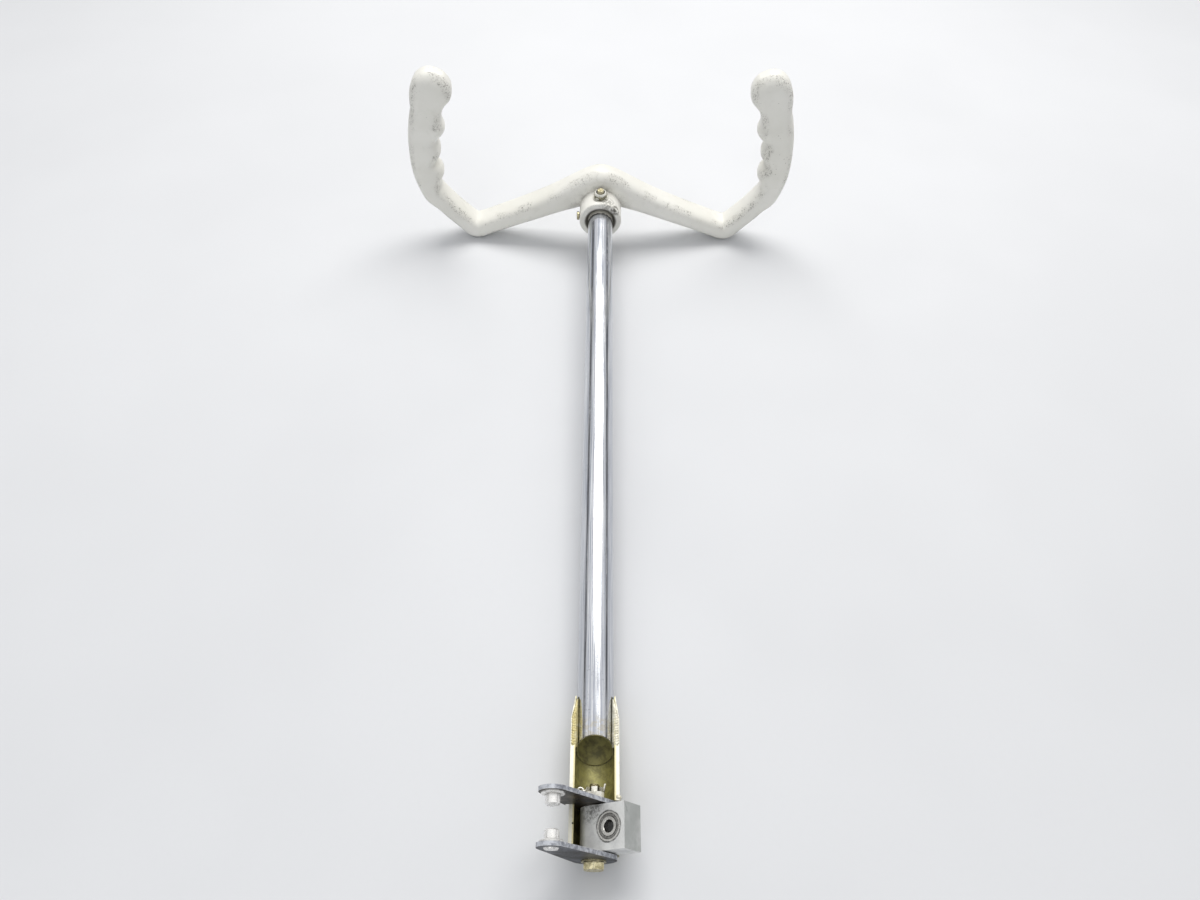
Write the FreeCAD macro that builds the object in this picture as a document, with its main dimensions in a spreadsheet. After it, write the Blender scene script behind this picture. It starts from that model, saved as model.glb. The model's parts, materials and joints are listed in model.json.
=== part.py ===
import FreeCAD, Part
import math
import os
import Sketcher

V = FreeCAD.Vector
TURN = FreeCAD.Rotation

# Driving dimensions in millimetres and degrees
VALUES = (
    # Control shaft tube
    ("tube_od", 22.225),
    ("tube_wall", 0.889),
    ("tube_visible", 472.0),
    ("tube_slant", 29.0),
    ("socket_depth", 34.0),
    ("slip", 0.12),
    # Hand wheel casting
    ("wheel_width", 340.0),
    ("horn_height", 127.0),
    ("corner_drop", 41.5),
    ("grip_depth", 26.0),
    ("grip_front", 20.0),
    ("finger_pitch", 24.0),
    ("finger_relief", 6.0),
    ("knob_width", 33.6),
    ("hub_peak", 34.0),
    ("boss_od", 38.1),
    ("boss_edge", 1.4),
    ("socket_flare", 2.4),
    # Hub fasteners
    ("hub_bolt_od", 6.35),
    ("hub_bolt_back", 11.4),
    ("hub_flat", 17.6),
    ("washer_od", 14.0),
    ("washer_thick", 0.9),
    ("hex_flats", 11.11),
    ("nut_tall", 5.5),
    ("head_tall", 4.0),
    ("side_screw_back", 8.0),
    ("side_screw_od", 4.8),
    ("side_head_od", 7.5),
    ("side_head_tall", 2.6),
    # Channel at the forward end of the tube
    ("channel_gap", 0.3),
    ("channel_wall", 2.8),
    ("channel_top", 8.0),
    ("channel_overlap", 31.0),
    ("channel_taper", 15.0),
    ("channel_tip", 0.7),
    ("cut_height", -1.7),
    # Arms and link pins
    ("arm_thick", 2.3),
    ("arm_hub_radius", 12.9),
    ("arm_end_radius", 8.0),
    ("arm_reach", 43.0),
    ("arm_angle", 59.5),
    ("pin_od", 7.94),
    ("pin_long", 5.4),
    ("pin_flange_od", 13.0),
    ("pin_flange_thick", 1.3),
    # Pivot bolt and swinging block
    ("pivot_od", 6.35),
    ("pivot_run", 0.04),
    ("nut_slot", 2.0),
    ("block_long", 23.8),
    ("block_thick", 15.875),
    ("block_reach", 26.0),
    ("block_angle", 36.0),
    ("end_play", 0.15),
    ("shim_thick", 0.5),
    # Ball bearing in the block
    ("bearing_od", 15.875),
    ("bearing_bore", 6.35),
    ("bearing_wide", 4.978),
    ("bearing_at", 15.4),
    ("ball_od", 2.381),
    ("ball_count", 8),
)


class Size:
    """A number together with the sheet expression that gives it."""

    def __init__(self, text, value):
        self.text = text
        self.value = value

    def joined(self, sign, other, value):
        right = other.text if isinstance(other, Size) else repr(float(other))
        return Size("(%s %s %s)" % (self.text, sign, right), value)

    def __add__(self, other):
        return self.joined("+", other, self.value + number(other))

    def __sub__(self, other):
        return self.joined("-", other, self.value - number(other))

    def __mul__(self, other):
        return self.joined("*", other, self.value * number(other))

    def __truediv__(self, other):
        return self.joined("/", other, self.value / number(other))


def number(size):
    return size.value if isinstance(size, Size) else float(size)


def make_sheet():
    dims = doc.addObject("Spreadsheet::Sheet", "Dims")
    for row, (alias, value) in enumerate(VALUES, 1):
        dims.set("A%d" % row, alias)
        dims.set("B%d" % row, str(value))
        dims.setAlias("B%d" % row, alias)
    doc.recompute()
    return dims


def S(alias):
    return Size("Dims." + alias, float(sheet.get(alias)))


def N(alias):
    return float(sheet.get(alias))


def bind(thing, name, size):
    if isinstance(size, Size):
        thing.setExpression(name, size.text)
    else:
        setattr(thing, name, size)


# Sketch and body helpers
def new_body(label):
    body = doc.addObject("PartDesign::Body", label)
    body.Label = label
    return body


def new_sketch(body, role, offset=0.0):
    plane = [p for p in body.Origin.OriginFeatures if p.Role == role][0]
    sketch = body.newObject("Sketcher::SketchObject", body.Label + "_sketch")
    sketch.AttachmentSupport = [(plane, "")]
    sketch.MapMode = "FlatFace"
    if number(offset):
        sketch.AttachmentOffset = FreeCAD.Placement(V(0, 0, number(offset)), TURN())
        if isinstance(offset, Size):
            sketch.setExpression("AttachmentOffset.Base.z", offset.text)
    return sketch


def hold(sketch, kind, *where):
    """Add one constraint and tie its last value to the sheet."""
    size = where[-1]
    if isinstance(size, Size):
        index = sketch.addConstraint(Sketcher.Constraint(kind, *where[:-1], size.value))
        sketch.setExpression("Constraints[%d]" % index, size.text)
    else:
        sketch.addConstraint(Sketcher.Constraint(kind, *where))


def hold_point(sketch, geo, pos, across, up):
    for kind, axis, size in (("DistanceX", -2, across), ("DistanceY", -1, up)):
        if number(size) == 0.0:
            sketch.addConstraint(Sketcher.Constraint("PointOnObject", geo, pos, axis))
        else:
            hold(sketch, kind, -1, 1, geo, pos, size)


def draw_outline(sketch, points):
    spots = [V(number(a), number(b), 0) for a, b in points]
    count = len(spots)
    for i in range(count):
        sketch.addGeometry(Part.LineSegment(spots[i], spots[(i + 1) % count]), False)
    for i in range(count):
        sketch.addConstraint(Sketcher.Constraint("Coincident", i, 2, (i + 1) % count, 1))
    for i, (across, up) in enumerate(points):
        hold_point(sketch, i, 1, across, up)


def draw_circle(sketch, across, up, diameter):
    spot = V(number(across), number(up), 0)
    geo = sketch.addGeometry(Part.Circle(spot, V(0, 0, 1), number(diameter) / 2), False)
    hold_point(sketch, geo, 3, across, up)
    hold(sketch, "Diameter", geo, diameter)


def draw_channel(sketch, radius, top):
    """Round floor below the axis, straight walls above it."""
    r = number(radius)
    high = number(top)
    sketch.addGeometry(Part.ArcOfCircle(Part.Circle(V(0, 0, 0), V(0, 0, 1), r), math.pi, 2 * math.pi), False)
    sketch.addGeometry(Part.LineSegment(V(r, 0, 0), V(r, high, 0)), False)
    sketch.addGeometry(Part.LineSegment(V(r, high, 0), V(-r, high, 0)), False)
    sketch.addGeometry(Part.LineSegment(V(-r, high, 0), V(-r, 0, 0)), False)
    for a, b, c, d in ((0, 2, 1, 1), (1, 2, 2, 1), (2, 2, 3, 1), (3, 2, 0, 1)):
        sketch.addConstraint(Sketcher.Constraint("Coincident", a, b, c, d))
    sketch.addConstraint(Sketcher.Constraint("Coincident", 0, 3, -1, 1))
    sketch.addConstraint(Sketcher.Constraint("PointOnObject", 0, 1, -1))
    sketch.addConstraint(Sketcher.Constraint("PointOnObject", 0, 2, -1))
    sketch.addConstraint(Sketcher.Constraint("Vertical", 1))
    sketch.addConstraint(Sketcher.Constraint("Horizontal", 2))
    sketch.addConstraint(Sketcher.Constraint("Vertical", 3))
    hold(sketch, "Radius", 0, radius)
    hold(sketch, "DistanceY", -1, 1, 1, 2, top)


def draw_lever(sketch, hub_radius, end_radius, reach):
    """Two round ends joined by their common tangents."""
    big = number(hub_radius)
    small = number(end_radius)
    far = number(reach)
    lean = math.acos((big - small) / far)
    touch = [V(far + small * math.cos(lean), small * math.sin(lean), 0)]
    touch.append(V(big * math.cos(lean), big * math.sin(lean), 0))
    low = [V(p.x, -p.y, 0) for p in touch]
    hub = Part.Circle(V(0, 0, 0), V(0, 0, 1), big)
    end = Part.Circle(V(far, 0, 0), V(0, 0, 1), small)
    sketch.addGeometry(Part.ArcOfCircle(hub, lean, 2 * math.pi - lean), False)
    sketch.addGeometry(Part.LineSegment(low[1], low[0]), False)
    sketch.addGeometry(Part.ArcOfCircle(end, -lean, lean), False)
    sketch.addGeometry(Part.LineSegment(touch[0], touch[1]), False)
    for a, b, c, d in ((0, 2, 1, 1), (1, 2, 2, 1), (2, 2, 3, 1), (3, 2, 0, 1)):
        sketch.addConstraint(Sketcher.Constraint("Tangent", a, b, c, d))
    sketch.addConstraint(Sketcher.Constraint("Coincident", 0, 3, -1, 1))
    sketch.addConstraint(Sketcher.Constraint("PointOnObject", 2, 3, -1))
    hold(sketch, "Radius", 0, hub_radius)
    hold(sketch, "Radius", 2, end_radius)
    hold(sketch, "DistanceX", -1, 1, 2, 3, reach)


def pad(body, sketch, length, both_ways=False):
    feature = body.newObject("PartDesign::Pad", body.Label + "_pad")
    feature.Profile = sketch
    bind(feature, "Length", length)
    feature.Midplane = both_ways
    return feature


def pocket(body, sketch, length, both_ways=False, flipped=False):
    feature = body.newObject("PartDesign::Pocket", body.Label + "_pocket")
    feature.Profile = sketch
    bind(feature, "Length", length)
    feature.Midplane = both_ways
    feature.Reversed = flipped
    return feature


def turned(label, outline, seat):
    """A piece turned about its local Z axis from a half section."""
    body = new_body(label)
    sketch = new_sketch(body, "XZ_Plane")
    draw_outline(sketch, outline)
    turn = body.newObject("PartDesign::Revolution", label + "_turn")
    turn.Profile = sketch
    turn.ReferenceAxis = (sketch, ["V_Axis"])
    turn.Angle = 360.0
    body.Placement = seat
    return body


def at(x, y, z, rotation=None):
    return FreeCAD.Placement(V(x, y, z), rotation or TURN())


def joined(kind, label, seat, *parts):
    """A boolean of two or more pieces, moved as one."""
    result = doc.addObject(kind, label)
    result.Label = label
    if kind == "Part::Cut":
        result.Base, result.Tool = parts
    elif kind == "Part::Compound":
        result.Links = list(parts)
    else:
        result.Shapes = list(parts)
    result.Placement = seat
    return result


def hexagon(label, flats, height, low=0.0):
    prism = doc.addObject("Part::Prism", label)
    prism.Polygon = 6
    bind(prism, "Circumradius", flats / math.sqrt(3.0))
    bind(prism, "Height", height)
    prism.Placement = at(0, 0, low)
    return prism


def solid(label, shape, seat=None):
    """A free shape that no sketch feature describes."""
    feature = doc.addObject("Part::Feature", label)
    feature.Label = label
    feature.Shape = shape
    feature.Placement = seat or at(0, 0, 0)
    return feature


# Places along the shaft, measured from the end face of the boss
def shaft_end():
    return -N("tube_visible")


def arm_plane():
    """Wheel side face of the far arm."""
    return shaft_end() - 29.3


def block_near():
    return arm_plane() - N("arm_thick") - N("shim_thick") - N("end_play") - N("block_long")


def near_arm_plane():
    return block_near() - N("end_play") - N("shim_thick")


# Hand wheel casting
def half_stations():
    """Middle line of one side with its width and finger relief, from the hub to the knob."""
    wide = N("wheel_width") / 340.0
    low = N("corner_drop") / 41.5
    high = N("horn_height") / 127.0
    rows = []
    # Straight arm, tight corner and straight leg
    for x, z, w in ((0, 16.5, 34.0), (19, 10.2, 29.0), (38, 1.8, 23.5), (58, -7.0, 20.5), (80, -16.2, 18.8),
                    (100, -24.4, 18.0), (111, -29.0, 18.2), (116, -30.8, 19.0), (120.6, -30.6, 19.2),
                    (125, -27.2, 18.2), (132, -19.4, 17.4), (140, -10.2, 17.4), (147, -1.2, 18.0)):
        rows.append((x * wide, z * (low if z < 0 else high), w, 0.0))
    # Grip, with one swelling for each finger
    pitch = N("finger_pitch")
    top = 3.25 * pitch
    count = 19
    for i in range(count):
        z = 10.0 + (top + 2.0) * i / (count - 1)
        x = 159.4 - (0.0042 if z > 40.0 else 0.0046) * (z - 40.0) ** 2
        wave = abs(math.cos(math.pi * (z - top) / pitch)) ** 0.9
        fade = min(1.0, max(0.0, (z - 16.0) / 8.0)) * min(1.0, max(0.0, (top + 11.0 - z) / 6.0))
        w = 20.0 + 1.8 * min(1.0, (z - 10.0) / 20.0) + 4.5 * max(0.0, (z - 55.0) / 35.0)
        rows.append((x * wide, z * high, w, wave * fade * N("finger_relief")))
    # Round knob
    radius = N("knob_width") / 2
    cx = 141.0 * wide
    cz = N("horn_height") - radius
    rows.append((cx + 0.27 * radius, cz - 0.48 * radius, 1.83 * radius, 0.0))
    for share in (0.0, 0.36, 0.65, 0.85, 0.965):
        width = 2 * radius * math.sqrt(1.0 - share ** 2)
        rows.append((cx - 0.447 * share * radius, cz + 0.894 * share * radius, width, 0.0))
    return rows


def wheel_section(middle, along, width, relief, depth, centre_back):
    """Rounded cross-section; the relief swells its inner and front quarter."""
    inward = V(-along.z, 0, along.x)
    points = []
    for step in range(16):
        angle = 2 * math.pi * step / 16
        c = math.cos(angle)
        s = math.sin(angle)
        a = width / 2 * math.copysign(abs(c) ** 0.72, c)
        b = depth / 2 * math.copysign(abs(s) ** 0.72, s)
        if c > 0:
            a += relief * c
        if s > 0:
            b += 0.5 * relief * s * (0.5 + 0.5 * c)
        points.append(middle + inward * a + V(0, centre_back - b, 0))
    curve = Part.BSplineCurve()
    curve.interpolate(points, PeriodicFlag=True)
    return Part.Wire([curve.toShape()])


def half_wheel():
    rows = half_stations()
    centre_back = N("grip_front") + N("grip_depth") / 2
    sections = []
    last = len(rows) - 1
    widest = N("knob_width")
    for index, (x, z, w, relief) in enumerate(rows):
        before = rows[max(index - 1, 0)]
        after = rows[min(index + 1, last)]
        along = V(after[0] - before[0], 0, after[1] - before[1]).normalize()
        if index == 0:
            along = V(1, 0, 0)
        depth = N("grip_depth")
        if index > last - 5:
            depth *= (w / widest) ** 0.85
        sections.append(wheel_section(V(x, 0, z), along, w, relief, depth, centre_back))
    return Part.makeLoft(sections, True, False)


def oval(middle, half, tall):
    """Closed smooth oval around a point, facing along the tube."""
    points = []
    for step in range(16):
        angle = 2 * math.pi * step / 16
        points.append(middle + V(half * math.cos(angle), 0, tall * math.sin(angle)))
    curve = Part.BSplineCurve()
    curve.interpolate(points, PeriodicFlag=True)
    return Part.Wire([curve.toShape()])


def hub_flare():
    """Sloping shoulder between the boss and the peak of the arms."""
    back = N("grip_front") + N("grip_depth")
    radius = N("boss_od") / 2
    peak = N("hub_peak")
    rings = []
    for y, high, half in ((8.0, radius, radius), (22.0, 0.62 * peak + 0.38 * radius, radius * 1.01),
                          (back - 9.0, peak, radius * 1.06), (back - 1.5, peak - 2.6, radius * 0.96),
                          (back, peak - 6.0, radius * 0.82)):
        low = -radius if y < back - 2 else -radius + (y - back + 2) * 3.0
        rings.append(oval(V(0, y, (high + low) / 2), half, (high - low) / 2))
    return Part.makeLoft(rings, True, False)


def make_wheel():
    right = half_wheel()
    left = right.mirror(V(0, 0, 0), V(1, 0, 0))
    radius = N("boss_od") / 2
    boss = Part.makeCylinder(radius, N("socket_depth"), V(0, 0, 0), V(0, 1, 0))
    rim = [e for e in boss.Edges if e.BoundBox.YMax < 1e-3]
    boss = boss.makeFillet(N("boss_edge"), rim)
    casting = right.fuse([left, boss, hub_flare()])
    bore = N("tube_od") / 2 + N("slip")
    flare = N("socket_flare")
    cuts = [Part.makeCylinder(bore, N("socket_depth"), V(0, 0, 0), V(0, 1, 0))]
    cuts.append(Part.makeCone(bore + flare, bore, flare, V(0, 0, 0), V(0, 1, 0)))
    flat = N("hub_flat")
    seat_radius = N("washer_od") / 2 + 0.8
    hole = N("hub_bolt_od") / 2 + 0.1
    for way in (1, -1):
        spot = V(0, N("hub_bolt_back"), way * flat)
        cuts.append(Part.makeCylinder(seat_radius, 12.0, spot, V(0, 0, way)))
    cuts.append(Part.makeCylinder(hole, 2 * flat + 2, V(0, N("hub_bolt_back"), -flat - 1), V(0, 0, 1)))
    side = V(-radius - 1, N("side_screw_back"), 0)
    cuts.append(Part.makeCylinder(N("side_screw_od") / 2 + 0.1, radius, side, V(1, 0, 0)))
    casting = casting.cut(cuts)
    return solid("wheel_casting", casting.Solids[0])


def make_hub_fasteners():
    back = N("hub_bolt_back")
    flat = N("hub_flat")
    half = S("hub_bolt_od") / 2
    seat = flat + N("washer_thick")
    grip = S("hub_flat") * 2 + S("washer_thick") * 2 + S("nut_tall") + 2.2
    shank = turned(
        "hub_bolt_shank",
        [(0, 0), (half, 0), (half, grip - 0.8), (half - 0.8, grip), (0, grip)],
        at(0, 0, 0),
    )
    corner = S("hex_flats") / math.sqrt(3.0)
    cap = turned(
        "hub_bolt_cap",
        [(0, S("head_tall") * -1), (corner - 1.0, S("head_tall") * -1), (corner, S("head_tall") * -1 + 0.6),
         (corner, 0), (0, 0)],
        at(0, 0, 0),
    )
    head = joined("Part::MultiCommon", "hub_bolt_head", at(0, 0, 0), cap,
                  hexagon("hub_bolt_hex", S("hex_flats"), S("head_tall"), -N("head_tall")))
    joined("Part::MultiFuse", "hub_bolt", at(0, back, -seat), shank, head)
    nut_turn = turned(
        "hub_nut_turn",
        [(half + 0.15, 0), (corner - 0.2, 0), (corner, 0.4), (corner, S("nut_tall") - 0.8),
         (corner - 1.2, S("nut_tall")), (half + 0.6, S("nut_tall")), (half + 0.15, S("nut_tall") - 0.5)],
        at(0, 0, 0),
    )
    joined("Part::MultiCommon", "hub_nut", at(0, back, seat), nut_turn,
           hexagon("hub_nut_hex", S("hex_flats"), S("nut_tall")))
    ring = [(half + 0.15, 0), (S("washer_od") / 2, 0), (S("washer_od") / 2, S("washer_thick")),
            (half + 0.15, S("washer_thick"))]
    top = turned("hub_washer_top", ring, at(0, back, flat))
    low = turned("hub_washer_low", ring, at(0, back, -seat))
    joined("Part::Compound", "hub_washers", at(0, 0, 0), top, low)
    screw = S("side_screw_od") / 2
    shank_long = (S("boss_od") - S("tube_od")) / 2 - 0.2
    knob = S("side_head_od") / 2
    tall = S("side_head_tall")
    # The screw points at the tube, its head stands off the boss
    turned(
        "side_screw",
        [(0, shank_long * -1), (screw, shank_long * -1), (screw, 0.35), (knob, 0.35), (knob, tall - 0.5),
         (knob - 0.5, tall), (screw * 0.5, tall), (screw * 0.5, tall - 1.2), (0, tall - 1.2)],
        at(-N("boss_od") / 2, N("side_screw_back"), 0, TURN(V(0, 1, 0), -90)),
    )


# Tube with a slanted open end
def make_tube():
    body = new_body("tube")
    sketch = new_sketch(body, "XZ_Plane", S("socket_depth") * -1)
    draw_circle(sketch, 0, 0, S("tube_od"))
    draw_circle(sketch, 0, 0, S("tube_od") - S("tube_wall") * 2)
    extra = S("tube_od")
    pad(body, sketch, S("tube_visible") + S("socket_depth") + extra)
    lean = math.tan(math.radians(N("tube_slant")))
    cut = new_sketch(body, "YZ_Plane")
    r = N("tube_od") / 2 + 1
    # The lower side reaches further than the upper one
    top = -N("tube_visible") + lean * r
    low = -N("tube_visible") - lean * r
    far = -N("tube_visible") - 3 * N("tube_od")
    draw_outline(cut, [(top, r), (low, -r), (far, -r), (far, r)])
    pocket(body, cut, S("tube_od") + 4, both_ways=True)
    hole = new_sketch(body, "XY_Plane")
    draw_circle(hole, 0, S("hub_bolt_back"), S("hub_bolt_od") + 0.2)
    pocket(body, hole, S("tube_od") + 4, both_ways=True)
    return body


# Round-floored channel, feathered where it meets the tube
def inner_radius():
    return S("tube_od") / 2 + S("channel_gap")


def outer_radius():
    return inner_radius() + S("channel_wall")


def channel_start():
    return shaft_end() + N("channel_overlap")


def make_channel():
    body = new_body("channel")
    start = channel_start() - N("channel_taper")
    length = start - near_arm_plane()
    full = new_sketch(body, "XZ_Plane")
    draw_channel(full, outer_radius(), S("channel_top"))
    pad(body, full, length)
    wide = new_sketch(body, "XZ_Plane")
    draw_channel(wide, outer_radius(), S("channel_top"))
    thin = new_sketch(body, "XZ_Plane", S("channel_taper") * -1)
    draw_channel(thin, inner_radius() + S("channel_tip"), S("channel_top") - 4.0)
    loft = body.newObject("PartDesign::AdditiveLoft", "channel_loft")
    loft.Profile = wide
    loft.Sections = [thin]
    inside = new_sketch(body, "XZ_Plane", S("channel_taper") * -1 - 1)
    draw_channel(inside, inner_radius(), S("channel_top") + 6.0)
    pocket(body, inside, length + N("channel_taper") + 2, flipped=True)
    # The right wall stops at the far arm so that the block can swing out
    side = new_sketch(body, "YZ_Plane")
    gate = arm_plane() - start
    draw_outline(side, [(gate, S("cut_height")), (gate, S("channel_top") + 2.0),
                        (-length - 2, S("channel_top") + 2.0), (-length - 2, S("cut_height"))])
    pocket(body, side, S("tube_od"), flipped=True)
    body.Placement = at(0, start, 0)
    return body


def bead(start, finish, radius, count, sway):
    """A weld bead of overlapping ripples between two points."""
    step = (finish - start) * (1.0 / count)
    drops = []
    for i in range(count + 1):
        spot = start + step * i
        drops.append(Part.makeSphere(radius * (1.0 + sway * math.sin(2.3 * i)), spot))
    run = drops[0].multiFuse(drops[1:])
    return run.removeSplitter()


def make_tube_welds():
    """Beads along both upper edges, trimmed clear of the tube and the channel."""
    tube_r = N("tube_od") / 2
    outer = number(outer_radius())
    start = channel_start() - 4.0
    finish = shaft_end() + 1.5
    top = N("channel_top")
    clear = [Part.makeCylinder(tube_r + 0.05, 80, V(0, start + 20, 0), V(0, -1, 0))]
    wall = doc.getObject("channel").Shape
    runs = []
    for way in (-1, 1):
        x = way * (tube_r + 1.2)
        run = bead(V(x, start, top - 1.2), V(x, finish, top + 0.2), 1.9, 13, 0.09)
        runs.append(run.cut(clear + [wall]))
    best = [max(r.Solids, key=lambda s: s.Volume) for r in runs]
    return solid("tube_welds", Part.makeCompound(best))


# Arms carrying the two link pins
def arm_turn():
    return TURN(V(0, 1, 0), N("arm_angle") - 180.0)


def arm_blank(label):
    body = new_body(label)
    sketch = new_sketch(body, "XZ_Plane")
    draw_lever(sketch, S("arm_hub_radius"), S("arm_end_radius"), S("arm_reach"))
    pad(body, sketch, S("arm_thick"))
    holes = new_sketch(body, "XZ_Plane")
    draw_circle(holes, 0, 0, S("pivot_od") + 0.2)
    draw_circle(holes, S("arm_reach"), 0, pin_shank() * 2 + 0.2)
    pocket(body, holes, S("arm_thick") * 2 + 2, both_ways=True)
    return body


def pin_shank():
    return S("pin_od") * 0.35


def make_arms():
    near = arm_blank("near_arm")
    near.Placement = at(0, near_arm_plane(), 0, arm_turn())
    blank = arm_blank("far_arm_blank")
    blank.Placement = at(0, arm_plane(), 0, arm_turn())
    cutter = new_body("far_arm_relief")
    thick = S("arm_thick") + 2
    sketch = new_sketch(cutter, "XZ_Plane")
    wide = outer_radius() + 2
    floor = S("channel_top") * 0 - 20
    draw_outline(sketch, [(wide * -1, floor), (wide, floor), (wide, S("cut_height")), (0, S("cut_height")),
                          (0, S("channel_top")), (wide * -1, S("channel_top"))])
    pad(cutter, sketch, thick)
    room = new_sketch(cutter, "XZ_Plane")
    draw_channel(room, inner_radius() - 0.3, S("channel_top") + 3)
    pocket(cutter, room, thick * 2 + 2, both_ways=True)
    cutter.Placement = at(0, arm_plane() + 1, 0)
    return joined("Part::Cut", "far_arm", at(0, 0, 0), blank, cutter)


def make_link_pins():
    """Flanged pins riveted in the arms, facing each other."""
    angle = math.radians(N("arm_angle"))
    x = -N("arm_reach") * math.cos(angle)
    z = N("arm_reach") * math.sin(angle)
    pin = S("pin_od") / 2
    flange = S("pin_flange_od") / 2
    base = S("arm_thick") + 0.7
    lip = base + S("pin_flange_thick")
    tip = lip + S("pin_long")
    outline = [(0, 0), (pin_shank() + 0.9, 0), (pin_shank() + 1.4, 0.7), (pin_shank(), 0.7), (pin_shank(), base),
               (flange, base), (flange, lip - 0.3), (flange - 0.3, lip), (pin, lip), (pin, tip - 0.7),
               (pin - 0.7, tip), (0, tip)]
    far = turned("far_link_pin", outline, at(x, arm_plane() + 0.7, z, TURN(V(1, 0, 0), 90)))
    near_y = near_arm_plane() - N("arm_thick") - 0.7
    near = turned("near_link_pin", outline, at(x, near_y, z, TURN(V(1, 0, 0), -90)))
    return joined("Part::Compound", "link_pins", at(0, 0, 0), far, near)


def make_arm_weld():
    """Rough bead where the right wall ends against the far arm."""
    x = number(outer_radius()) - 0.6
    y = arm_plane() + 1.3
    run = bead(V(x, y, N("cut_height") + 1.5), V(x, y, N("channel_top") - 0.6), 1.8, 5, 0.12)
    others = [doc.getObject(name).Shape for name in ("channel", "far_arm")]
    run = run.cut(others)
    return solid("arm_weld", max(run.Solids, key=lambda s: s.Volume))


# Pivot bolt, castle nut and split pin
def make_pivot():
    half = S("pivot_od") / 2
    corner = S("hex_flats") / math.sqrt(3.0)
    head_y = near_arm_plane() - N("arm_thick") - N("washer_thick")
    nut_y = arm_plane() + N("washer_thick")
    grip = nut_y - head_y
    tip = grip + 9.2
    shank = turned("pivot_shank", [(0, 0), (half, 0), (half, tip - 0.8), (half - 0.8, tip), (0, tip)], at(0, 0, 0))
    cap = turned(
        "pivot_cap",
        [(0, S("head_tall") * -1), (corner - 1.0, S("head_tall") * -1), (corner, S("head_tall") * -1 + 0.6),
         (corner, 0), (0, 0)],
        at(0, 0, 0),
    )
    head = joined("Part::MultiCommon", "pivot_head", at(0, 0, 0), cap,
                  hexagon("pivot_hex", S("hex_flats"), S("head_tall"), -N("head_tall")))
    whole = joined("Part::MultiFuse", "pivot_whole", at(0, 0, 0), shank, head)
    drill = doc.addObject("Part::Cylinder", "pivot_drill")
    drill.Radius = 0.95
    bind(drill, "Height", S("pivot_od") + 2)
    slot_level = grip + 5.7
    drill.Placement = at(-N("pivot_od") / 2 - 1, 0, slot_level, TURN(V(0, 1, 0), 90))
    along = TURN(V(1, 0, 0), -90)
    joined("Part::Cut", "pivot_bolt", at(0, head_y, 0, along), whole, drill)
    nut_turn = turned(
        "castle_turn",
        [(half + 0.15, 0), (corner - 0.3, 0), (corner, 0.5), (corner, 4.2), (corner - 1.2, 4.7),
         (corner - 1.2, 7.2), (half + 0.15, 7.2)],
        at(0, 0, 0),
    )
    prism = hexagon("castle_hex", S("hex_flats"), 7.2)
    prism.Placement = at(0, 0, 0, TURN(V(0, 0, 1), 30))
    blank = joined("Part::MultiCommon", "castle_blank", at(0, 0, 0), nut_turn, prism)
    slots = []
    for i in range(3):
        box = doc.addObject("Part::Box", "castle_slot_%d" % i)
        box.Length = 20
        bind(box, "Width", S("nut_slot"))
        box.Height = 3.0
        turn = TURN(V(0, 0, 1), 60.0 * i)
        box.Placement = FreeCAD.Placement(turn.multVec(V(-10, -N("nut_slot") / 2, 4.7)), turn)
        slots.append(box)
    cross = joined("Part::MultiFuse", "castle_slots", at(0, 0, 0), *slots)
    joined("Part::Cut", "castle_nut", at(0, nut_y, 0, along), blank, cross)
    ring = [(half + 0.15, 0), (S("washer_od") / 2, 0), (S("washer_od") / 2, S("washer_thick")),
            (half + 0.15, S("washer_thick"))]
    low = turned("pivot_washer_low", ring, at(0, head_y, 0, along))
    top = turned("pivot_washer_top", ring, at(0, arm_plane(), 0, along))
    joined("Part::Compound", "pivot_washers", at(0, 0, 0), low, top)
    make_split_pin(at(0, head_y + slot_level, 0, along))


def make_split_pin(seat):
    """Eye on one side of the bolt, one leg bent up and one bent round the nut."""
    wire = 0.75
    reach = N("pivot_od") / 2 + 1.0
    loop = N("hex_flats") / 2 + wire + 1.75
    eye = Part.makeTorus(1.6, wire, V(-loop, 0, 0), V(0, 1, 0))
    stem = Part.makeCylinder(wire, reach + 1.0 + loop - 1.6, V(-loop + 1.6, 0, 0), V(1, 0, 0))
    knee = Part.makeSphere(wire, V(reach + 1.0, 0, 0))
    leg_up = Part.makeCylinder(wire, 3.6, V(reach + 1.0, 0, 0), V(0.25, 0, 1))
    tip = Part.makeSphere(wire, V(reach + 1.0, 0, 0) + V(0.25, 0, 1).normalize() * 3.6)
    pin = eye.multiFuse([stem, knee, leg_up, tip])
    return solid("split_pin", pin.removeSplitter(), seat)


# Swinging block
def block_turn():
    return TURN(V(0, 1, 0), -N("block_angle"))


def block_far():
    return block_near() + N("block_long")


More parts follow.
